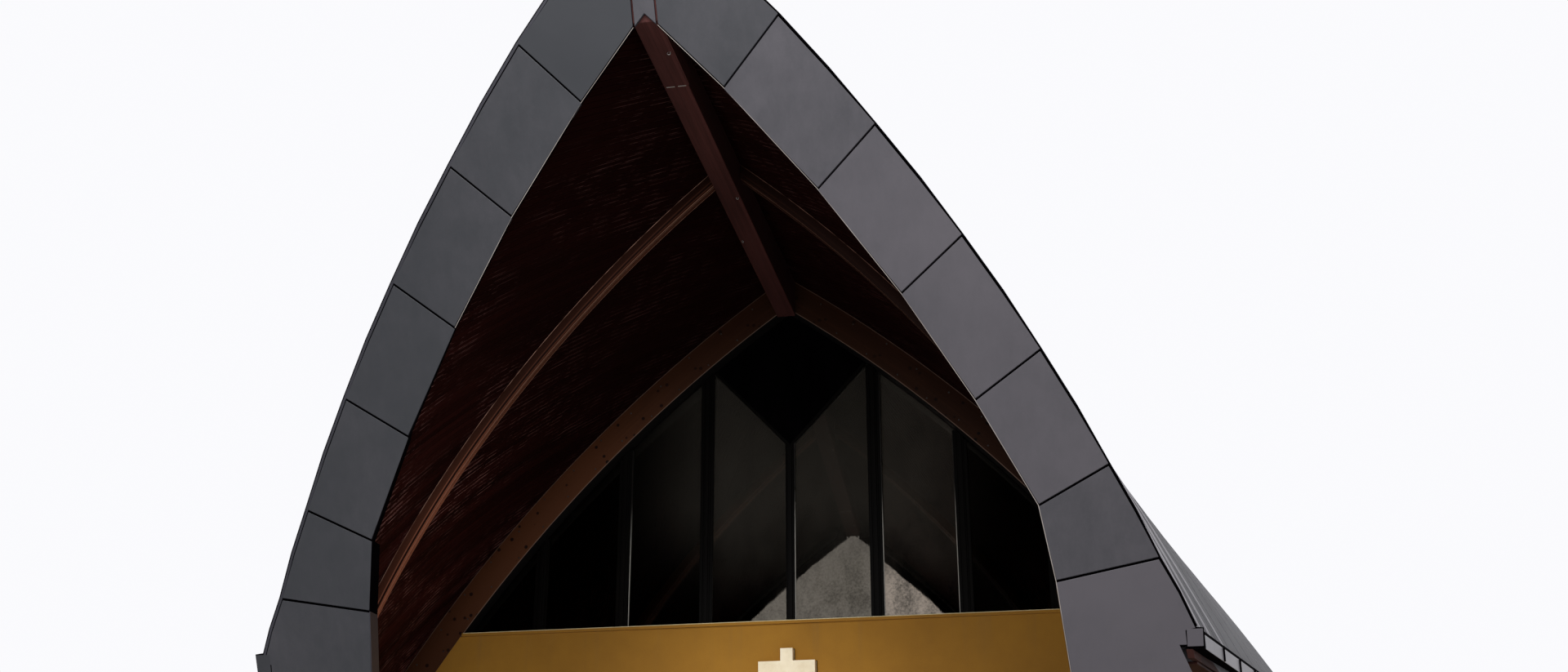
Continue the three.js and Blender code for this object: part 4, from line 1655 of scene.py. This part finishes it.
@dataclass(frozen=True)
class RidgeBeam:
    """The beam along the porch ridge, with a board on its side, small pale hooks and a strap under it."""

    layout: Layout
    bottom: float = 11.04
    forward: float = 0.172
    round_edge: float = 0.01
    side_height: float = 0.2
    side_thickness: float = 0.012
    behind_face: float = 0.05
    hooks: tuple[Point, ...] = ((0.1, -8.2), (0.108, -4.53), (-0.107, -3.17))
    hook_turn: float = 0.6
    strap: Point = (-7.48, 0.014)
    strap_starts: tuple[float, float] = (-0.12, 0.02)
    strap_length: float = 0.1

    def build(self) -> None:
        """Builds the beam, carried forward to the panels, and what is fixed to it."""
        beam = Bench.from_node("porch_ridge_beam", "ridge_beam_timber")
        low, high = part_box("porch_ridge_beam")
        for vertex in beam.data.vertices:
            if vertex.co.y < (low.y + high.y) / 2:
                vertex.co.y -= self.forward
        Bench.bevel(beam, self.round_edge, 2)
        Bench.fit(beam, BEAM_TIMBER, "soffit_boards", ["porch_ridge_beam"])
        self._side_board()
        self._hooks()

    def _side_board(self) -> None:
        """The board on the beam's right side, from the panels to the strap, in a lighter timber that paints
        light on a side that gets little.
        """
        layout, bottom, end = self.layout, self.bottom, self.strap[0]
        top, x = bottom + self.side_height, layout.ridge_half + 0.001
        corners = [
            layout.at(x, layout.lean(bottom) + self.behind_face, bottom), layout.at(x, end, bottom),
            layout.at(x, end, top), layout.at(x, layout.lean(top) + self.behind_face, top),
        ]
        board = Bench.slab("ridge_side_board", corners, Vector((self.side_thickness, 0.0, 0.0)))
        Bench.fit(board, PAINTED_LIGHT_SIDE_TIMBER, "soffit_boards")

    def _hooks(self) -> None:
        """Hooks along the beam and the strap in two halves across it."""
        layout, made = self.layout, []
        for number, (x, depth) in enumerate(self.hooks):
            bpy.ops.mesh.primitive_torus_add(
                major_segments=20, minor_segments=8, major_radius=0.018, minor_radius=0.005,
                location=layout.at(x, depth, self.bottom - 0.012),
                rotation=(math.pi / 2, 0.0, self.hook_turn * number),
            )
            made.append(Bench.named(f"hook_{number}"))
        depth, wide = self.strap
        for start in self.strap_starts:
            low = layout.at(start, depth, self.bottom - 0.005)
            made.append(Bench.block("strap", low, low + Vector((self.strap_length, wide, 0.006))))
        hooks = Bench.join("ridge_hooks", made)
        Bench.tone(hooks, 0.8)
        Bench.smooth(hooks, 60.0)
        Bench.fit(hooks, PALE_STEEL, "dark_frame")


@dataclass(frozen=True)
class SeamedRoof:
    """Long sheets with standing seams from eave to ridge, on the porch or on the nave."""

    layout: Layout
    word: str
    front: Arc
    back: Arc
    leaning: bool
    sheets: int
    head: float = 0.11
    rows: int = 26
    lift: float = 0.003
    sheet: float = 0.002
    seam_height: float = 0.007
    seam_width: float = 0.012
    dish: float = 0.003
    verge_size: tuple[float, float] = (1.4, 1.6)

    def _pans(self, vault: VaultSide) -> Piece:
        """The dished sheets between the seams.

        Args:
            vault: The roof's right side.

        Returns:
            The sheets as one piece.
        """
        pans = Bench.strip("pans", (1.0, 1.0), (self.rows, self.sheets * 4))
        Bench.thicken(pans, self.sheet)
        for vertex in pans.data.vertices:
            share = (vertex.co.y * self.sheets) % 1.0
            vertex.co.z += self.lift + self.dish * math.sin(math.pi * share) ** 2
        Bench.keep_flat(pans)
        tones = [random.Random(number).random() for number in range(self.sheets)]
        kept = pans.data.attributes.new("tone", "FLOAT", "POINT")
        for vertex, item in zip(pans.data.vertices, kept.data):
            item.value = tones[min(int(vertex.co.y * self.sheets + 1e-4), self.sheets - 1)]
        Bench.lay(pans, vault.lay)
        Bench.smooth(pans, 20.0)
        return pans

    def _seams(self, vault: VaultSide) -> Piece:
        """The standing seams, and the raised verge on the porch.

        Args:
            vault: The roof's right side.

        Returns:
            The seams as one piece.
        """
        width = self.seam_width / (vault.back_depth - vault.front_depth(0.5))
        seam = Bench.strip("seams", (1.0, width), (self.rows, 1))
        Bench.thicken(seam, self.seam_height)
        seam.data.transform(Matrix.Translation((0.0, -width / 2, self.lift)))
        Bench.repeat(seam, self.sheets - 1, (0.0, 1.0 / self.sheets, 0.0))
        seam.data.transform(Matrix.Translation((0.0, 1.0 / self.sheets, 0.0)))
        if self.leaning:
            wider, higher = self.verge_size
            verge = Bench.strip("verge", (1.0, wider * width), (self.rows, 1))
            Bench.thicken(verge, higher * self.seam_height)
            verge.data.transform(Matrix.Translation((0.0, width, self.lift)))
            seam = Bench.join("seams", [seam, verge])
        Bench.lay(seam, vault.lay)
        Bench.tone(seam, 0.9)
        return seam

    def build(self) -> None:
        """Builds the sheets and the seams of both sides."""
        foot = self.layout.eave_top + 0.004
        vault = VaultSide(self.layout, self.front, self.back, foot, self.head, self.leaning)
        for piece, name, finish in (
            (self._pans(vault), "sheets", ROOFING), (self._seams(vault), "seams", SEAM_SHEET),
        ):
            Bench.fit_both(Bench.renamed(piece, f"{self.word}_{name}_right"), finish, "roofing")


@dataclass(frozen=True)
class Gutters:
    """Folded gutters with cover plates between upright straps, over dark eave boards."""

    layout: Layout
    front: Point = (-5.66, 5.438)
    bend: Point = (-2.4, 6.423)
    width: float = 0.168
    low: float = -0.16
    lip: float = 0.0
    lip_bar: float = 0.036
    cap_low: float = -0.135
    caps: tuple[float, float] = (0.144, 0.042)
    # How far the painted shadow reaches round the gutter caps.
    outline: float = 0.013
    fold: float = 0.012
    plate: float = 0.006
    plate_pitch: float = 0.91
    plate_gap: float = 0.011
    strap: float = 0.026
    board: float = 0.03

    def _line(self, depth: float) -> float:
        """Inner edge of the gutter at a depth.

        Args:
            depth: The depth.

        Returns:
            Its distance from the axis.
        """
        end = (self.layout.gable, self.layout.nave.x_at(self.layout.eave_top))
        (y0, x0), (y1, x1) = (self.front, self.bend) if depth < self.bend[0] else (self.bend, end)
        return x0 + (x1 - x0) * (min(depth, end[0]) - y0) / (y1 - y0)

    def _section(self, outline: Sequence[Point], depth: float, leaning: bool) -> list[Vector]:
        """A section of the gutter on the right.

        Args:
            outline: The section, outward and upward from the eave's top corner.
            depth: Its depth, when it doesn't lean.
            leaning: Whether it lies on the leaning face.

        Returns:
            Its corners.
        """
        points = []
        for out, up in outline:
            z = self.layout.eave_top + up
            y = self.layout.lean(z) + 0.004 if leaning else depth
            points.append(self.layout.at(self._line(y) + out, y, z))
        return points

    def _run(self, name: str, outline: Sequence[Point], depths: Sequence[float]) -> Piece:
        """A section carried along the eave.

        Args:
            name: The piece's name.
            outline: The section, outward and upward from the eave's top corner.
            depths: Depth of each section. The first one leans with the porch where it lies before the bend.

        Returns:
            The closed run.
        """
        made = []
        for start, end in zip(depths, depths[1:]):
            first = self._section(outline, start, start < self.bend[0])
            last = self._section(outline, end, False)
            push = Vector((0.0, 0.5, 0.0))
            piece = Bench.slab(name, first, push)
            for vertex in piece.data.vertices:
                nearest = min(range(len(first)), key=lambda i: (vertex.co - first[i] - push).length)
                if (vertex.co - first[nearest] - push).length < 1e-4:
                    vertex.co = last[nearest]
            Bench.outward(piece)
            made.append(piece)
        return Bench.join(name, made)

    def _under_eave(self, word: str, depths: Sequence[float]) -> Piece:
        """The level board under the roof's foot, from the soffit to the gutter.

        Args:
            word: The roof.
            depths: The depths that its gutter passes.

        Returns:
            The board.
        """
        layout = self.layout
        level = layout.eave_bottom - self.board
        inner = layout.porch_soffit if word == "porch" else layout.nave_soffit
        y0 = layout.lean(level) + layout.fascia_depth if word == "porch" else depths[0]
        outer = [layout.at(self._line(y) + 0.02, y, level) for y in (y0, *depths[1:])]
        corners = [layout.at(inner.x_at(level), y0, level), *outer]
        corners.append(layout.at(layout.nave_soffit.x_at(level), depths[-1], level))
        return Bench.slab(f"{word}_under_eave_right", corners, Vector((0.0, 0.0, self.board - 0.002)))

    def build(self) -> None:
        """Builds the gutters, their plates, end caps and eave boards."""
        layout, width, fold = self.layout, self.width, self.fold
        depth_low = layout.eave_bottom - layout.eave_top
        trough = [
            (0.0, self.low), (width, self.low), (width, self.lip), (width - fold, self.lip),
            (width - fold, self.low + fold), (fold, self.low + fold), (fold, -0.002), (0.0, -0.002),
        ]
        board = [(-0.03, depth_low), (0.045, depth_low), (0.045, self.low - 0.002), (-0.03, self.low - 0.002)]
        high, back, front = self.lip + self.lip_bar, width - 0.02, width + 0.004
        bar = [(back, self.lip), (front, self.lip), (front, high), (back, high)]
        porch_front = layout.lean(layout.eave_top)
        for word, depths in (
            ("porch", (porch_front, self.bend[0], layout.gable)), ("nave", (layout.gable, layout.rear)),
        ):
            gutter = self._run(f"{word}_trough_right", trough, depths)
            eave = self._run(f"{word}_eave_board_right", board, depths)
            eave = Bench.join(f"{word}_eave_board_right", [eave, self._under_eave(word, depths)])
            Bench.bevel(eave, 0.004, 1)
            plates, straps = self._plates(word, depths[0] + 0.15, depths[-1])
            # Painted shadow: the near-black bar over the lip is the shadow gap under the roof's foot.
            lip = self._run(f"{word}_lip_bar_right", bar, depths)
            Bench.fit_both(gutter, LINING_AND_SHADE, "gutter", f"{word}_gutter")
            Bench.fit_both(eave, EAVE_TIMBER, "soffit_boards")
            for piece, finish in ((plates, GUTTER_SHEET), (straps, LINING_AND_SHADE), (lip, LINING_AND_SHADE)):
                Bench.fit_both(piece, finish, "gutter")
        for side in Side:
            self._cap(side)

    def _plates(self, word: str, start: float, end: float) -> tuple[Piece, Piece]:
        """The cover plates along the gutter's outer face and the straps between them.

        Args:
            word: The roof that drains into the gutter.
            start: Depth of the first plate's front end.
            end: Depth of the last plate's back end.

        Returns:
            The plates and the straps.
        """
        layout, made, straps = self.layout, [], []
        mixer = random.Random(3)
        top, low = layout.eave_top + self.lip - 0.001, layout.eave_top + self.low
        count = max(1, round((end - start) / self.plate_pitch))
        length = (end - start) / count
        for number in range(count):
            y0, y1 = start + number * length, start + (number + 1) * length - self.plate_gap
            x0, x1 = (self._line(y) + self.width + 0.0005 for y in (y0, y1))
            ends = ((x0, y0, low), (x1, y1, low), (x1, y1, top), (x0, y0, top))
            corners = [layout.at(*end) for end in ends]
            plate = Bench.slab(f"plate_{number}", corners, Vector((self.plate, 0.0, 0.0)))
            Bench.bevel(plate, 0.0015, 1)
            Bench.tone(plate, mixer.random())
            made.append(plate)
            if number < count - 1:
                back, y = self._line(y1 + 0.01) + self.width, y1 + 0.001
                ends = ((back, low), (back + self.strap, low), (back + self.strap, top), (back, top))
                corners = [layout.at(x, y, z) for x, z in ends]
                straps.append(Bench.slab(f"strap_{number}", corners, Vector((0.0, 0.009, 0.0))))
        return (
            Bench.join(f"{word}_gutter_plates_right", made),
            Bench.join(f"{word}_gutter_straps_right", straps),
        )

    def _cap(self, side: Side) -> None:
        """The cap on the front end of the gutter, higher on the left, with a dark plate behind it painted as
        the shadow round its edges. The left cap's darker tone is painted shade.

        Args:
            side: The side.
        """
        layout = self.layout
        low, high = (layout.eave_top + up for up in (self.cap_low, self.caps[side is Side.RIGHT]))
        for name, grow, above, back, thick, finish in (
            (f"gutter_cap_{side.word}", 0.0, 0.0, -0.002, 0.012, CLADDING),
            (f"cap_rim_{side.word}", self.outline, 0.02, 0.011, 0.02, LINING_AND_SHADE),
        ):
            corners = []
            z0, z1 = low - grow, high + grow + above
            near, far = -0.004 - grow, self.width + grow
            for out, z in ((near, z0), (far, z0), (far, z1 - above), (near, z1)):
                y = layout.lean(z) + back
                corners.append(layout.at(side.value * (self.front[1] + 0.004 + out), y, z))
            cap = Bench.slab(name, corners, Vector((0.0, thick, 0.0)))
            Bench.bevel(cap, 0.002, 1)
            Bench.tone(cap, 0.9 if side is Side.RIGHT else 0.0)
            Bench.fit(cap, finish, "gutter")


@dataclass(frozen=True)
class Gable:
    """Mullions with cover strips, glass and the dark kite-shaped panel with its rim."""

    layout: Layout
    pitch: float = 1.36
    half: float = 0.055
    strip_half: float = 0.03
    strip_proud: float = 0.022
    vent_half: float = 1.25
    vent_bottom: float = 8.9
    stile: float = 0.05
    narrow_stile: float = 0.016
    beads: tuple[tuple[int, int], ...] = ((-2, 1), (0, 1), (1, 1), (2, -1))
    pane_lean: float = 1.13
    pane_front: float = 0.012
    pane_thickness: float = 0.016

    @property
    def sill(self) -> float:
        """Height of the sill that the glass stands on."""
        return self.layout.wall_top + 0.06

    def build(self) -> None:
        """Builds everything inside the arch's opening."""
        layout = self.layout
        for number in range(1, 8):
            bar = Bench.from_node(f"mullion_{number}", f"mullion_bar_{number}")
            Bench.bevel(bar, 0.006, 2)
            x = (number - 4) * self.pitch
            top = layout.nave_opening.z_at(abs(x) + self.strip_half) - 0.02 if x else self.vent_bottom - 0.06
            low = layout.at(x - self.strip_half, -self.strip_proud, self.sill)
            high = layout.at(x + self.strip_half, 0.004, top)
            cover = Bench.block("cover", low, high)
            Bench.bevel(cover, 0.004, 2)
            piece = Bench.join(f"mullion_bar_{number}", [bar, cover])
            Bench.fit(piece, FRAME_PAINT, "dark_frame", [f"mullion_{number}"])
        self._stiles()
        self._panes()
        self._vent()
        self._bottom_rail()

    def _stiles(self) -> None:
        """The frames of the windows beside each mullion, with a bead on some of them that is pale low down as
        a painted highlight.
        """
        layout, stiles, beads = self.layout, [], []
        for number in range(-3, 4):
            wide = self.stile if number else self.narrow_stile
            for sign in (-1, 1):
                near = number * self.pitch + sign * (self.half + 0.001)
                far = near + sign * wide
                top = layout.nave_opening.z_at(max(abs(near), abs(far))) - 0.02
                if abs(near) < self.vent_half:
                    share = min(abs(near), abs(far)) / self.vent_half
                    corner = layout.nave_opening.z_at(self.vent_half)
                    top = self.vent_bottom + (corner - self.vent_bottom) * share - 0.03
                bars = [(stiles, near, far, 0.004)]
                if (number, sign) in self.beads:
                    bars.append((beads, far - sign * 0.002, far + sign * 0.009, 0.0))
                for made, one, other, front in bars:
                    x0, x1 = sorted((one, other))
                    made.append(Bench.block("bar", layout.at(x0, front, self.sill), layout.at(x1, 0.05, top)))
        for name, made, finish in (("window_stiles", stiles, FRAME_PAINT), ("window_beads", beads, BEAD)):
            piece = Bench.join(name, made)
            Bench.bevel(piece, 0.003, 1)
            Bench.fit(piece, finish, "dark_frame")

    def _pane_top(self, x0: float, x1: float) -> list[Point]:
        """The upper edge of a pane on the right.

        Args:
            x0: The pane's inner side.
            x1: Its outer side.

        Returns:
            The edge's points, from the outer side to the inner side.
        """
        arc, steps = self.layout.nave_opening, 5
        sides = [x1 + (x0 - x1) * i / steps for i in range(steps + 1)]
        top = [(x, arc.z_at(x) - 0.01) for x in sides]
        if x0 < self.vent_half < x1:
            top = [top[0], (self.vent_half, arc.z_at(self.vent_half) - 0.01), (x0, self.vent_bottom)]
        return top

    def _panes(self) -> None:
        """One pane between each two mullions, all leaning back a little from the sill."""
        layout, sill, made = self.layout, self.sill, []
        reach = layout.nave_opening.x_at(sill) - 0.01
        lean = math.tan(math.radians(self.pane_lean))
        edges = [0.0, self.pitch, 2 * self.pitch, 3 * self.pitch, reach]
        for x0, x1 in zip(edges, edges[1:]):
            x0, x1 = x0 + 0.02, min(x1 - 0.02, reach)
            outline = [(x0, sill), (x1, sill), *self._pane_top(x0, x1)]
            for sign in (1.0, -1.0):
                corners = [layout.at(sign * x, self.pane_front + (z - sill) * lean, z) for x, z in outline]
                pane = Bench.slab("pane", corners, Vector((0.0, self.pane_thickness, 0.0)))
                middle = sign * (x0 + x1) / 2
                # Painted reflection: each pane's tone sets how bright its reflection is, brightest in the
                # second pane right of the axis and dimmest in the outer panes.
                beside = self.pitch < middle < 2 * self.pitch
                Bench.tone(pane, 1.0 if beside else 0.1 if abs(middle) < self.pitch else -0.9)
                made.append(pane)
        Bench.fit(Bench.join("gable_panes", made), GLASS, "glass", ["glazing"])

    def _bottom_rail(self) -> None:
        """The rail that the glass stands on."""
        layout = self.layout
        reach = layout.nave_opening.x_at(layout.wall_top + 0.1) - 0.01
        rail = Bench.block(
            "bottom_rail", layout.at(-reach, -0.012, layout.wall_top + 0.051),
            layout.at(reach, 0.118, layout.wall_top + 0.1),
        )
        Bench.bevel(rail, 0.005, 2)
        Bench.fit(rail, FRAME_PAINT, "dark_frame")

    def _vent(self) -> None:
        """The dark panel with a rim along its lower edges."""
        layout = self.layout
        panel = Bench.from_node("vent_panel", "vent_panel_board")
        Bench.bevel(panel, 0.004, 1)
        Bench.fit(panel, LINING_AND_SHADE, "dark_frame", ["vent_panel"])
        foot, corner = self.vent_bottom, layout.nave_opening.z_at(self.vent_half)
        run = Vector((self.vent_half, corner - foot)).normalized()
        normal = Vector((run.y, -run.x)) * 0.025
        rims = []
        for sign in (1.0, -1.0):
            low, high = Vector((0.0, foot - 0.01)), Vector((self.vent_half - 0.02, corner - 0.025))
            outline = [low - normal, low + normal, high + normal, high - normal]
            rim = Bench.slab(
                "rim", [layout.at(sign * x, 0.035, z) for x, z in outline], Vector((0.0, 0.085, 0.0))
            )
            Bench.bevel(rim, 0.004, 1)
            rims.append(rim)
        Bench.fit(Bench.join("vent_rim", rims), FRAME_PAINT, "dark_frame")


@dataclass(frozen=True)
class Walls:
    """Rendered walls with a coping under the glass."""

    layout: Layout
    front: float = -0.25
    back: float = 0.15
    door_half: float = 0.95
    door_height: float = 2.45
    edge_steps: int = 12

    def _opening_edge(self, top: float) -> list[Point]:
        """The arch's inner edge on the right, from the ground to a height."""
        heights = [top * i / self.edge_steps for i in range(self.edge_steps + 1)]
        return [(self.layout.nave_opening.x_at(z) - 0.001, z) for z in heights]

    def build(self) -> None:
        """Builds the front wall as one piece and paints the others."""
        layout, half = self.layout, self.door_half
        edge = self._opening_edge(layout.wall_top)
        right = [(half, self.door_height), (half, 0.0), *edge]
        outline = [*right, *[(-x, z) for x, z in reversed(right)]]
        corners = [layout.at(x, self.front, z) for x, z in outline]
        wall = Bench.slab("front_wall", corners, Vector((0.0, self.back - self.front, 0.0)))
        nodes = ["front_wall_left", "front_wall_right", "front_wall_over_door"]
        Bench.fit(wall, RENDER, "render", nodes)
        for node in ("side_wall_left", "side_wall_right", "rear_wall"):
            Bench.paint_node(node, RENDER)
        sill = Bench.from_node("sill", "wall_coping")
        Bench.fit(sill, RENDER, "pale_stone", ["sill"])
        low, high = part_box("sill")
        # Painted highlight: a thin pale lip along the wall's top edge.
        lip = Bench.block(
            "coping_lip", Vector((low.x + 0.02, low.y - 0.003, high.z - 0.008)),
            Vector((high.x - 0.02, low.y + 0.05, high.z + 0.002)),
        )
        Bench.bevel(lip, 0.002, 1)
        Bench.fit(lip, COPING_HIGHLIGHT, "pale_stone")


@dataclass(frozen=True)
class WallCross:
    """A plain cross with shallow panels sunk into its arms."""

    bar: float = 0.19
    margin: float = 0.026
    sunk: float = 0.02
    # How far the painted shadow plate reaches past the cross.
    backing: float = 0.011

    def build(self) -> None:
        """Builds the cross, sinks its panels and adds the stud on its upper arm."""
        cross = Bench.from_node("cross", "wall_cross")
        low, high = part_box("cross")
        half = self.bar / 2
        bar_high = high.z - self.bar
        for point, normal in (
            ((-half, 0.0, 0.0), (1.0, 0.0, 0.0)), ((half, 0.0, 0.0), (1.0, 0.0, 0.0)),
            ((0.0, 0.0, bar_high), (0.0, 0.0, 1.0)), ((0.0, 0.0, bar_high - self.bar), (0.0, 0.0, 1.0)),
        ):
            with Bench.editing(cross):
                bpy.ops.mesh.bisect(plane_co=point, plane_no=normal)
        fronts = [face for face in cross.data.polygons if face.normal.y < -0.9 and face.center.z < bar_high]
        middle = bar_high - self.bar
        arms = [face for face in fronts if abs(face.center.x) > half or face.center.z < middle]
        Bench.inset(cross, arms, self.margin, 0.0)
        Bench.inset(cross, arms, 0.006, -self.sunk)
        Bench.bevel(cross, 0.004, 2)
        bpy.ops.mesh.primitive_cylinder_add(
            vertices=16, radius=0.016, depth=0.012, rotation=(math.pi / 2, 0.0, 0.0),
            location=(0.0, low.y, high.z - 0.06),
        )
        stud = Bench.named("stud")
        Bench.bevel(stud, 0.003, 2)
        Bench.fit(Bench.join("wall_cross", [cross, stud]), CREAM, "pale_stone", ["cross"])
        self._backing(low, high)

    def _backing(self, low: Vector, high: Vector) -> None:
        """A dark plate behind the cross, a little larger all round, painted as the thin shadow round its
        edges.

        Args:
            low: The cross's lowest corner.
            high: Its highest corner.
        """
        grow, half, top = self.backing, self.bar / 2, high.z
        reach, arm = high.x + grow, (top - 2 * self.bar - grow, top - self.bar + grow)
        right = [
            (half + grow, low.z - grow), (half + grow, arm[0]), (reach, arm[0]), (reach, arm[1]),
            (half + grow, arm[1]), (half + grow, top + grow),
        ]
        outline = [*right, *[(-x, z) for x, z in reversed(right)]]
        corners = [Vector((x, high.y - 0.006, z)) for x, z in outline]
        plate = Bench.slab("cross_backing", corners, Vector((0.0, 0.005, 0.0)))
        Bench.fit(plate, LINING_AND_SHADE, "pale_stone")


@dataclass(frozen=True)
class Entrance:
    """Two boarded leaves in a dark frame, plain because no entrance shows."""

    stile: float = 0.11
    moulding: float = 0.012
    pull_in: float = 0.055
    pull_out: float = 0.045
    pull_length: float = 0.5
    pull_middle: float = 1.1
    stem_out: float = 0.022
    stem_spread: float = 0.18

    def build(self) -> None:
        """Builds the frame, the leaves and their pull handles."""
        surround = Bench.from_node("door_frame", "entrance_frame")
        Bench.bevel(surround, 0.006, 2)
        Bench.fit(surround, FRAME_PAINT, "dark_frame", ["door_frame"])
        for side in Side:
            node = f"door_leaf_{side.word}"
            leaf = Bench.from_node(node, f"entrance_leaf_{side.word}")
            fronts = [face for face in leaf.data.polygons if face.normal.y < -0.9]
            Bench.inset(leaf, fronts, self.stile, 0.0)
            Bench.inset(leaf, fronts, self.moulding, -self.moulding)
            Bench.bevel(leaf, 0.004, 1)
            Bench.fit(leaf, DOOR_TIMBER, "door", [node])
            self._pull(side, *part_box(node))

    def _pull(self, side: Side, low: Vector, high: Vector) -> None:
        """An upright pull handle on two stems.

        Args:
            side: The leaf's side.
            low: The leaf's lowest corner.
            high: Its highest corner.
        """
        x = low.x + self.pull_in if side is Side.RIGHT else high.x - self.pull_in
        bpy.ops.mesh.primitive_cylinder_add(
            vertices=20, radius=0.014, depth=self.pull_length,
            location=(x, low.y - self.pull_out, self.pull_middle),
        )
        parts = [Bench.named("pull")]
        for sign in (-1, 1):
            bpy.ops.mesh.primitive_cylinder_add(
                vertices=16, radius=0.009, depth=0.05, rotation=(math.pi / 2, 0.0, 0.0),
                location=(x, low.y - self.stem_out, self.pull_middle + sign * self.stem_spread),
            )
            parts.append(Bench.named("stem"))
        pull = Bench.join(f"entrance_pull_{side.word}", parts)
        Bench.bevel(pull, 0.003, 2)
        Bench.tone(pull, 0.8)
        Bench.smooth(pull, 40.0)
        Bench.fit(pull, STEEL, "dark_frame")


@dataclass(frozen=True)
class RearGable:
    """The rear: glass above a rendered wall, mullions, and trim over the roof's edge."""

    round_edge: float = 0.006

    def build(self) -> None:
        """Dresses the rear from the frame's solids."""
        bars = Bench.from_node("rear_mullions", "rear_bars")
        Bench.bevel(bars, self.round_edge, 1)
        Bench.fit(bars, FRAME_PAINT, "dark_frame", ["rear_mullions"])
        Bench.paint_node("rear_glazing", GLASS)
        for side in Side:
            trim = Bench.from_node(f"rear_trim_{side.word}", f"rear_edge_{side.word}")
            Bench.bevel(trim, self.round_edge, 1)
            Bench.fit(trim, CLADDING, "cladding", [f"rear_trim_{side.word}"])


@dataclass(frozen=True)
class RoofBodies:
    """The solids between skin and boards, painted as they show at eaves, ridge and inside."""

    skins: tuple[str, ...] = (
        "porch_roof_left", "porch_roof_right", "nave_roof_left", "nave_roof_right", "ridge_cap",
    )
    boards: tuple[str, ...] = ("nave_soffit_left", "nave_soffit_right")

    def build(self) -> None:
        """Paints the roof solids that stay."""
        for nodes, finish in ((self.skins, ROOFING), (self.boards, VAULT_BOARDS)):
            for node in nodes:
                Bench.paint_node(node, finish)


@dataclass(frozen=True)
class Softbox:
    """A square soft light in front of the building."""

    name: str
    spot: Triple
    power: float


@dataclass(frozen=True)
class Studio:
    """Camera, floor and soft light."""

    layout: Layout
    stand: Triple = (4.041, -22.5, 1.6)
    lens: float = 34.213
    shift_up: float = 0.0461
    turn: float = 10.404
    tilt: float = 19.114
    roll: float = -0.3118
    floor_half: float = 150.0
    floor_dark: Colour = (0.46, 0.46, 0.45, 1.0)
    floor_light: Colour = (0.52, 0.52, 0.5, 1.0)
    sky: Colour = (0.96, 0.96, 0.985, 1.0)
    aim: Triple = (0.0, -1.0, 5.0)
    lamp_size: float = 7.0
    lamps: tuple[Softbox, ...] = (
        Softbox("high light", (1.5, -31.0, 24.5), 8000.0),
        Softbox("left low light", (-6.0, -31.0, 11.0), 950.0),
        Softbox("right low light", (6.0, -31.0, 11.0), 1400.0),
    )

    def camera(self) -> None:
        """Sets the camera where the photograph was taken."""
        data = bpy.data.cameras.new("camera")
        data.lens, data.sensor_width, data.sensor_fit = self.lens, 36.0, "HORIZONTAL"
        data.shift_y = self.shift_up
        data.clip_end = 500.0
        camera = bpy.data.objects.new("camera", data)
        bpy.context.scene.collection.objects.link(camera)
        turn, tilt, roll = (math.radians(angle) for angle in (self.turn, 90.0 + self.tilt, self.roll))
        turned = Matrix.Rotation(turn, 4, "Z") @ Matrix.Rotation(tilt, 4, "X") @ Matrix.Rotation(roll, 4, "Z")
        camera.matrix_world = Matrix.Translation(self.layout.at(*self.stand)) @ turned
        bpy.context.scene.camera = camera

    def _light(self, lamp: Softbox) -> None:
        """A light aimed at the porch.

        Args:
            lamp: The light.
        """
        data = bpy.data.lights.new(lamp.name, "AREA")
        data.shape, data.size, data.energy = "SQUARE", self.lamp_size, lamp.power
        light = bpy.data.objects.new(lamp.name, data)
        bpy.context.scene.collection.objects.link(light)
        light.location = self.layout.at(*lamp.spot)
        aimed = self.layout.at(*self.aim) - light.location
        light.rotation_mode = "QUATERNION"
        light.rotation_quaternion = aimed.to_track_quat("-Z", "Y")

    def build(self) -> None:
        """Sets floor, sky and lights."""
        bpy.ops.object.select_all(action="DESELECT")
        bpy.ops.mesh.primitive_plane_add(size=2 * self.floor_half, location=(0.0, 0.0, -0.002))
        floor = Bench.named("studio_floor")
        graph = Graph("studio floor")
        cloud = graph.noise(graph.place(), 0.2)
        base = graph.mix(cloud, self.floor_dark, self.floor_light)
        floor.data.materials.append(graph.surface(Base_Color=base, Roughness=0.85))
        world = bpy.data.worlds.new("studio sky")
        world.use_nodes = True
        background = world.node_tree.nodes["Background"].inputs
        background["Color"].default_value, background["Strength"].default_value = self.sky, 1.0
        bpy.context.scene.world = world
        for lamp in self.lamps:
            self._light(lamp)
        bpy.context.scene.view_settings.view_transform = "Standard"


def main() -> None:
    """Builds every sub-assembly in order."""
    logging.basicConfig(level=logging.INFO, format="%(name)s: %(message)s")
    bpy.ops.object.select_all(action="DESELECT")
    layout = Layout()
    studio = Studio(layout)
    studio.camera()
    for part in (
        PorchFront(layout), SoffitBoards(layout), PorchRibs(layout), TimberArches(layout), RidgeBeam(layout),
        SeamedRoof(layout, "porch_roof", layout.porch, layout.nave, leaning=True, sheets=8),
        SeamedRoof(layout, "nave_roof", layout.nave, layout.nave, leaning=False, sheets=30),
        Gutters(layout), Gable(layout), Walls(layout), WallCross(), Entrance(), RearGable(), RoofBodies(),
    ):
        log.info("building %s", type(part).__name__)
        part.build()
    studio.build()


if __name__ == "__main__":
    main()
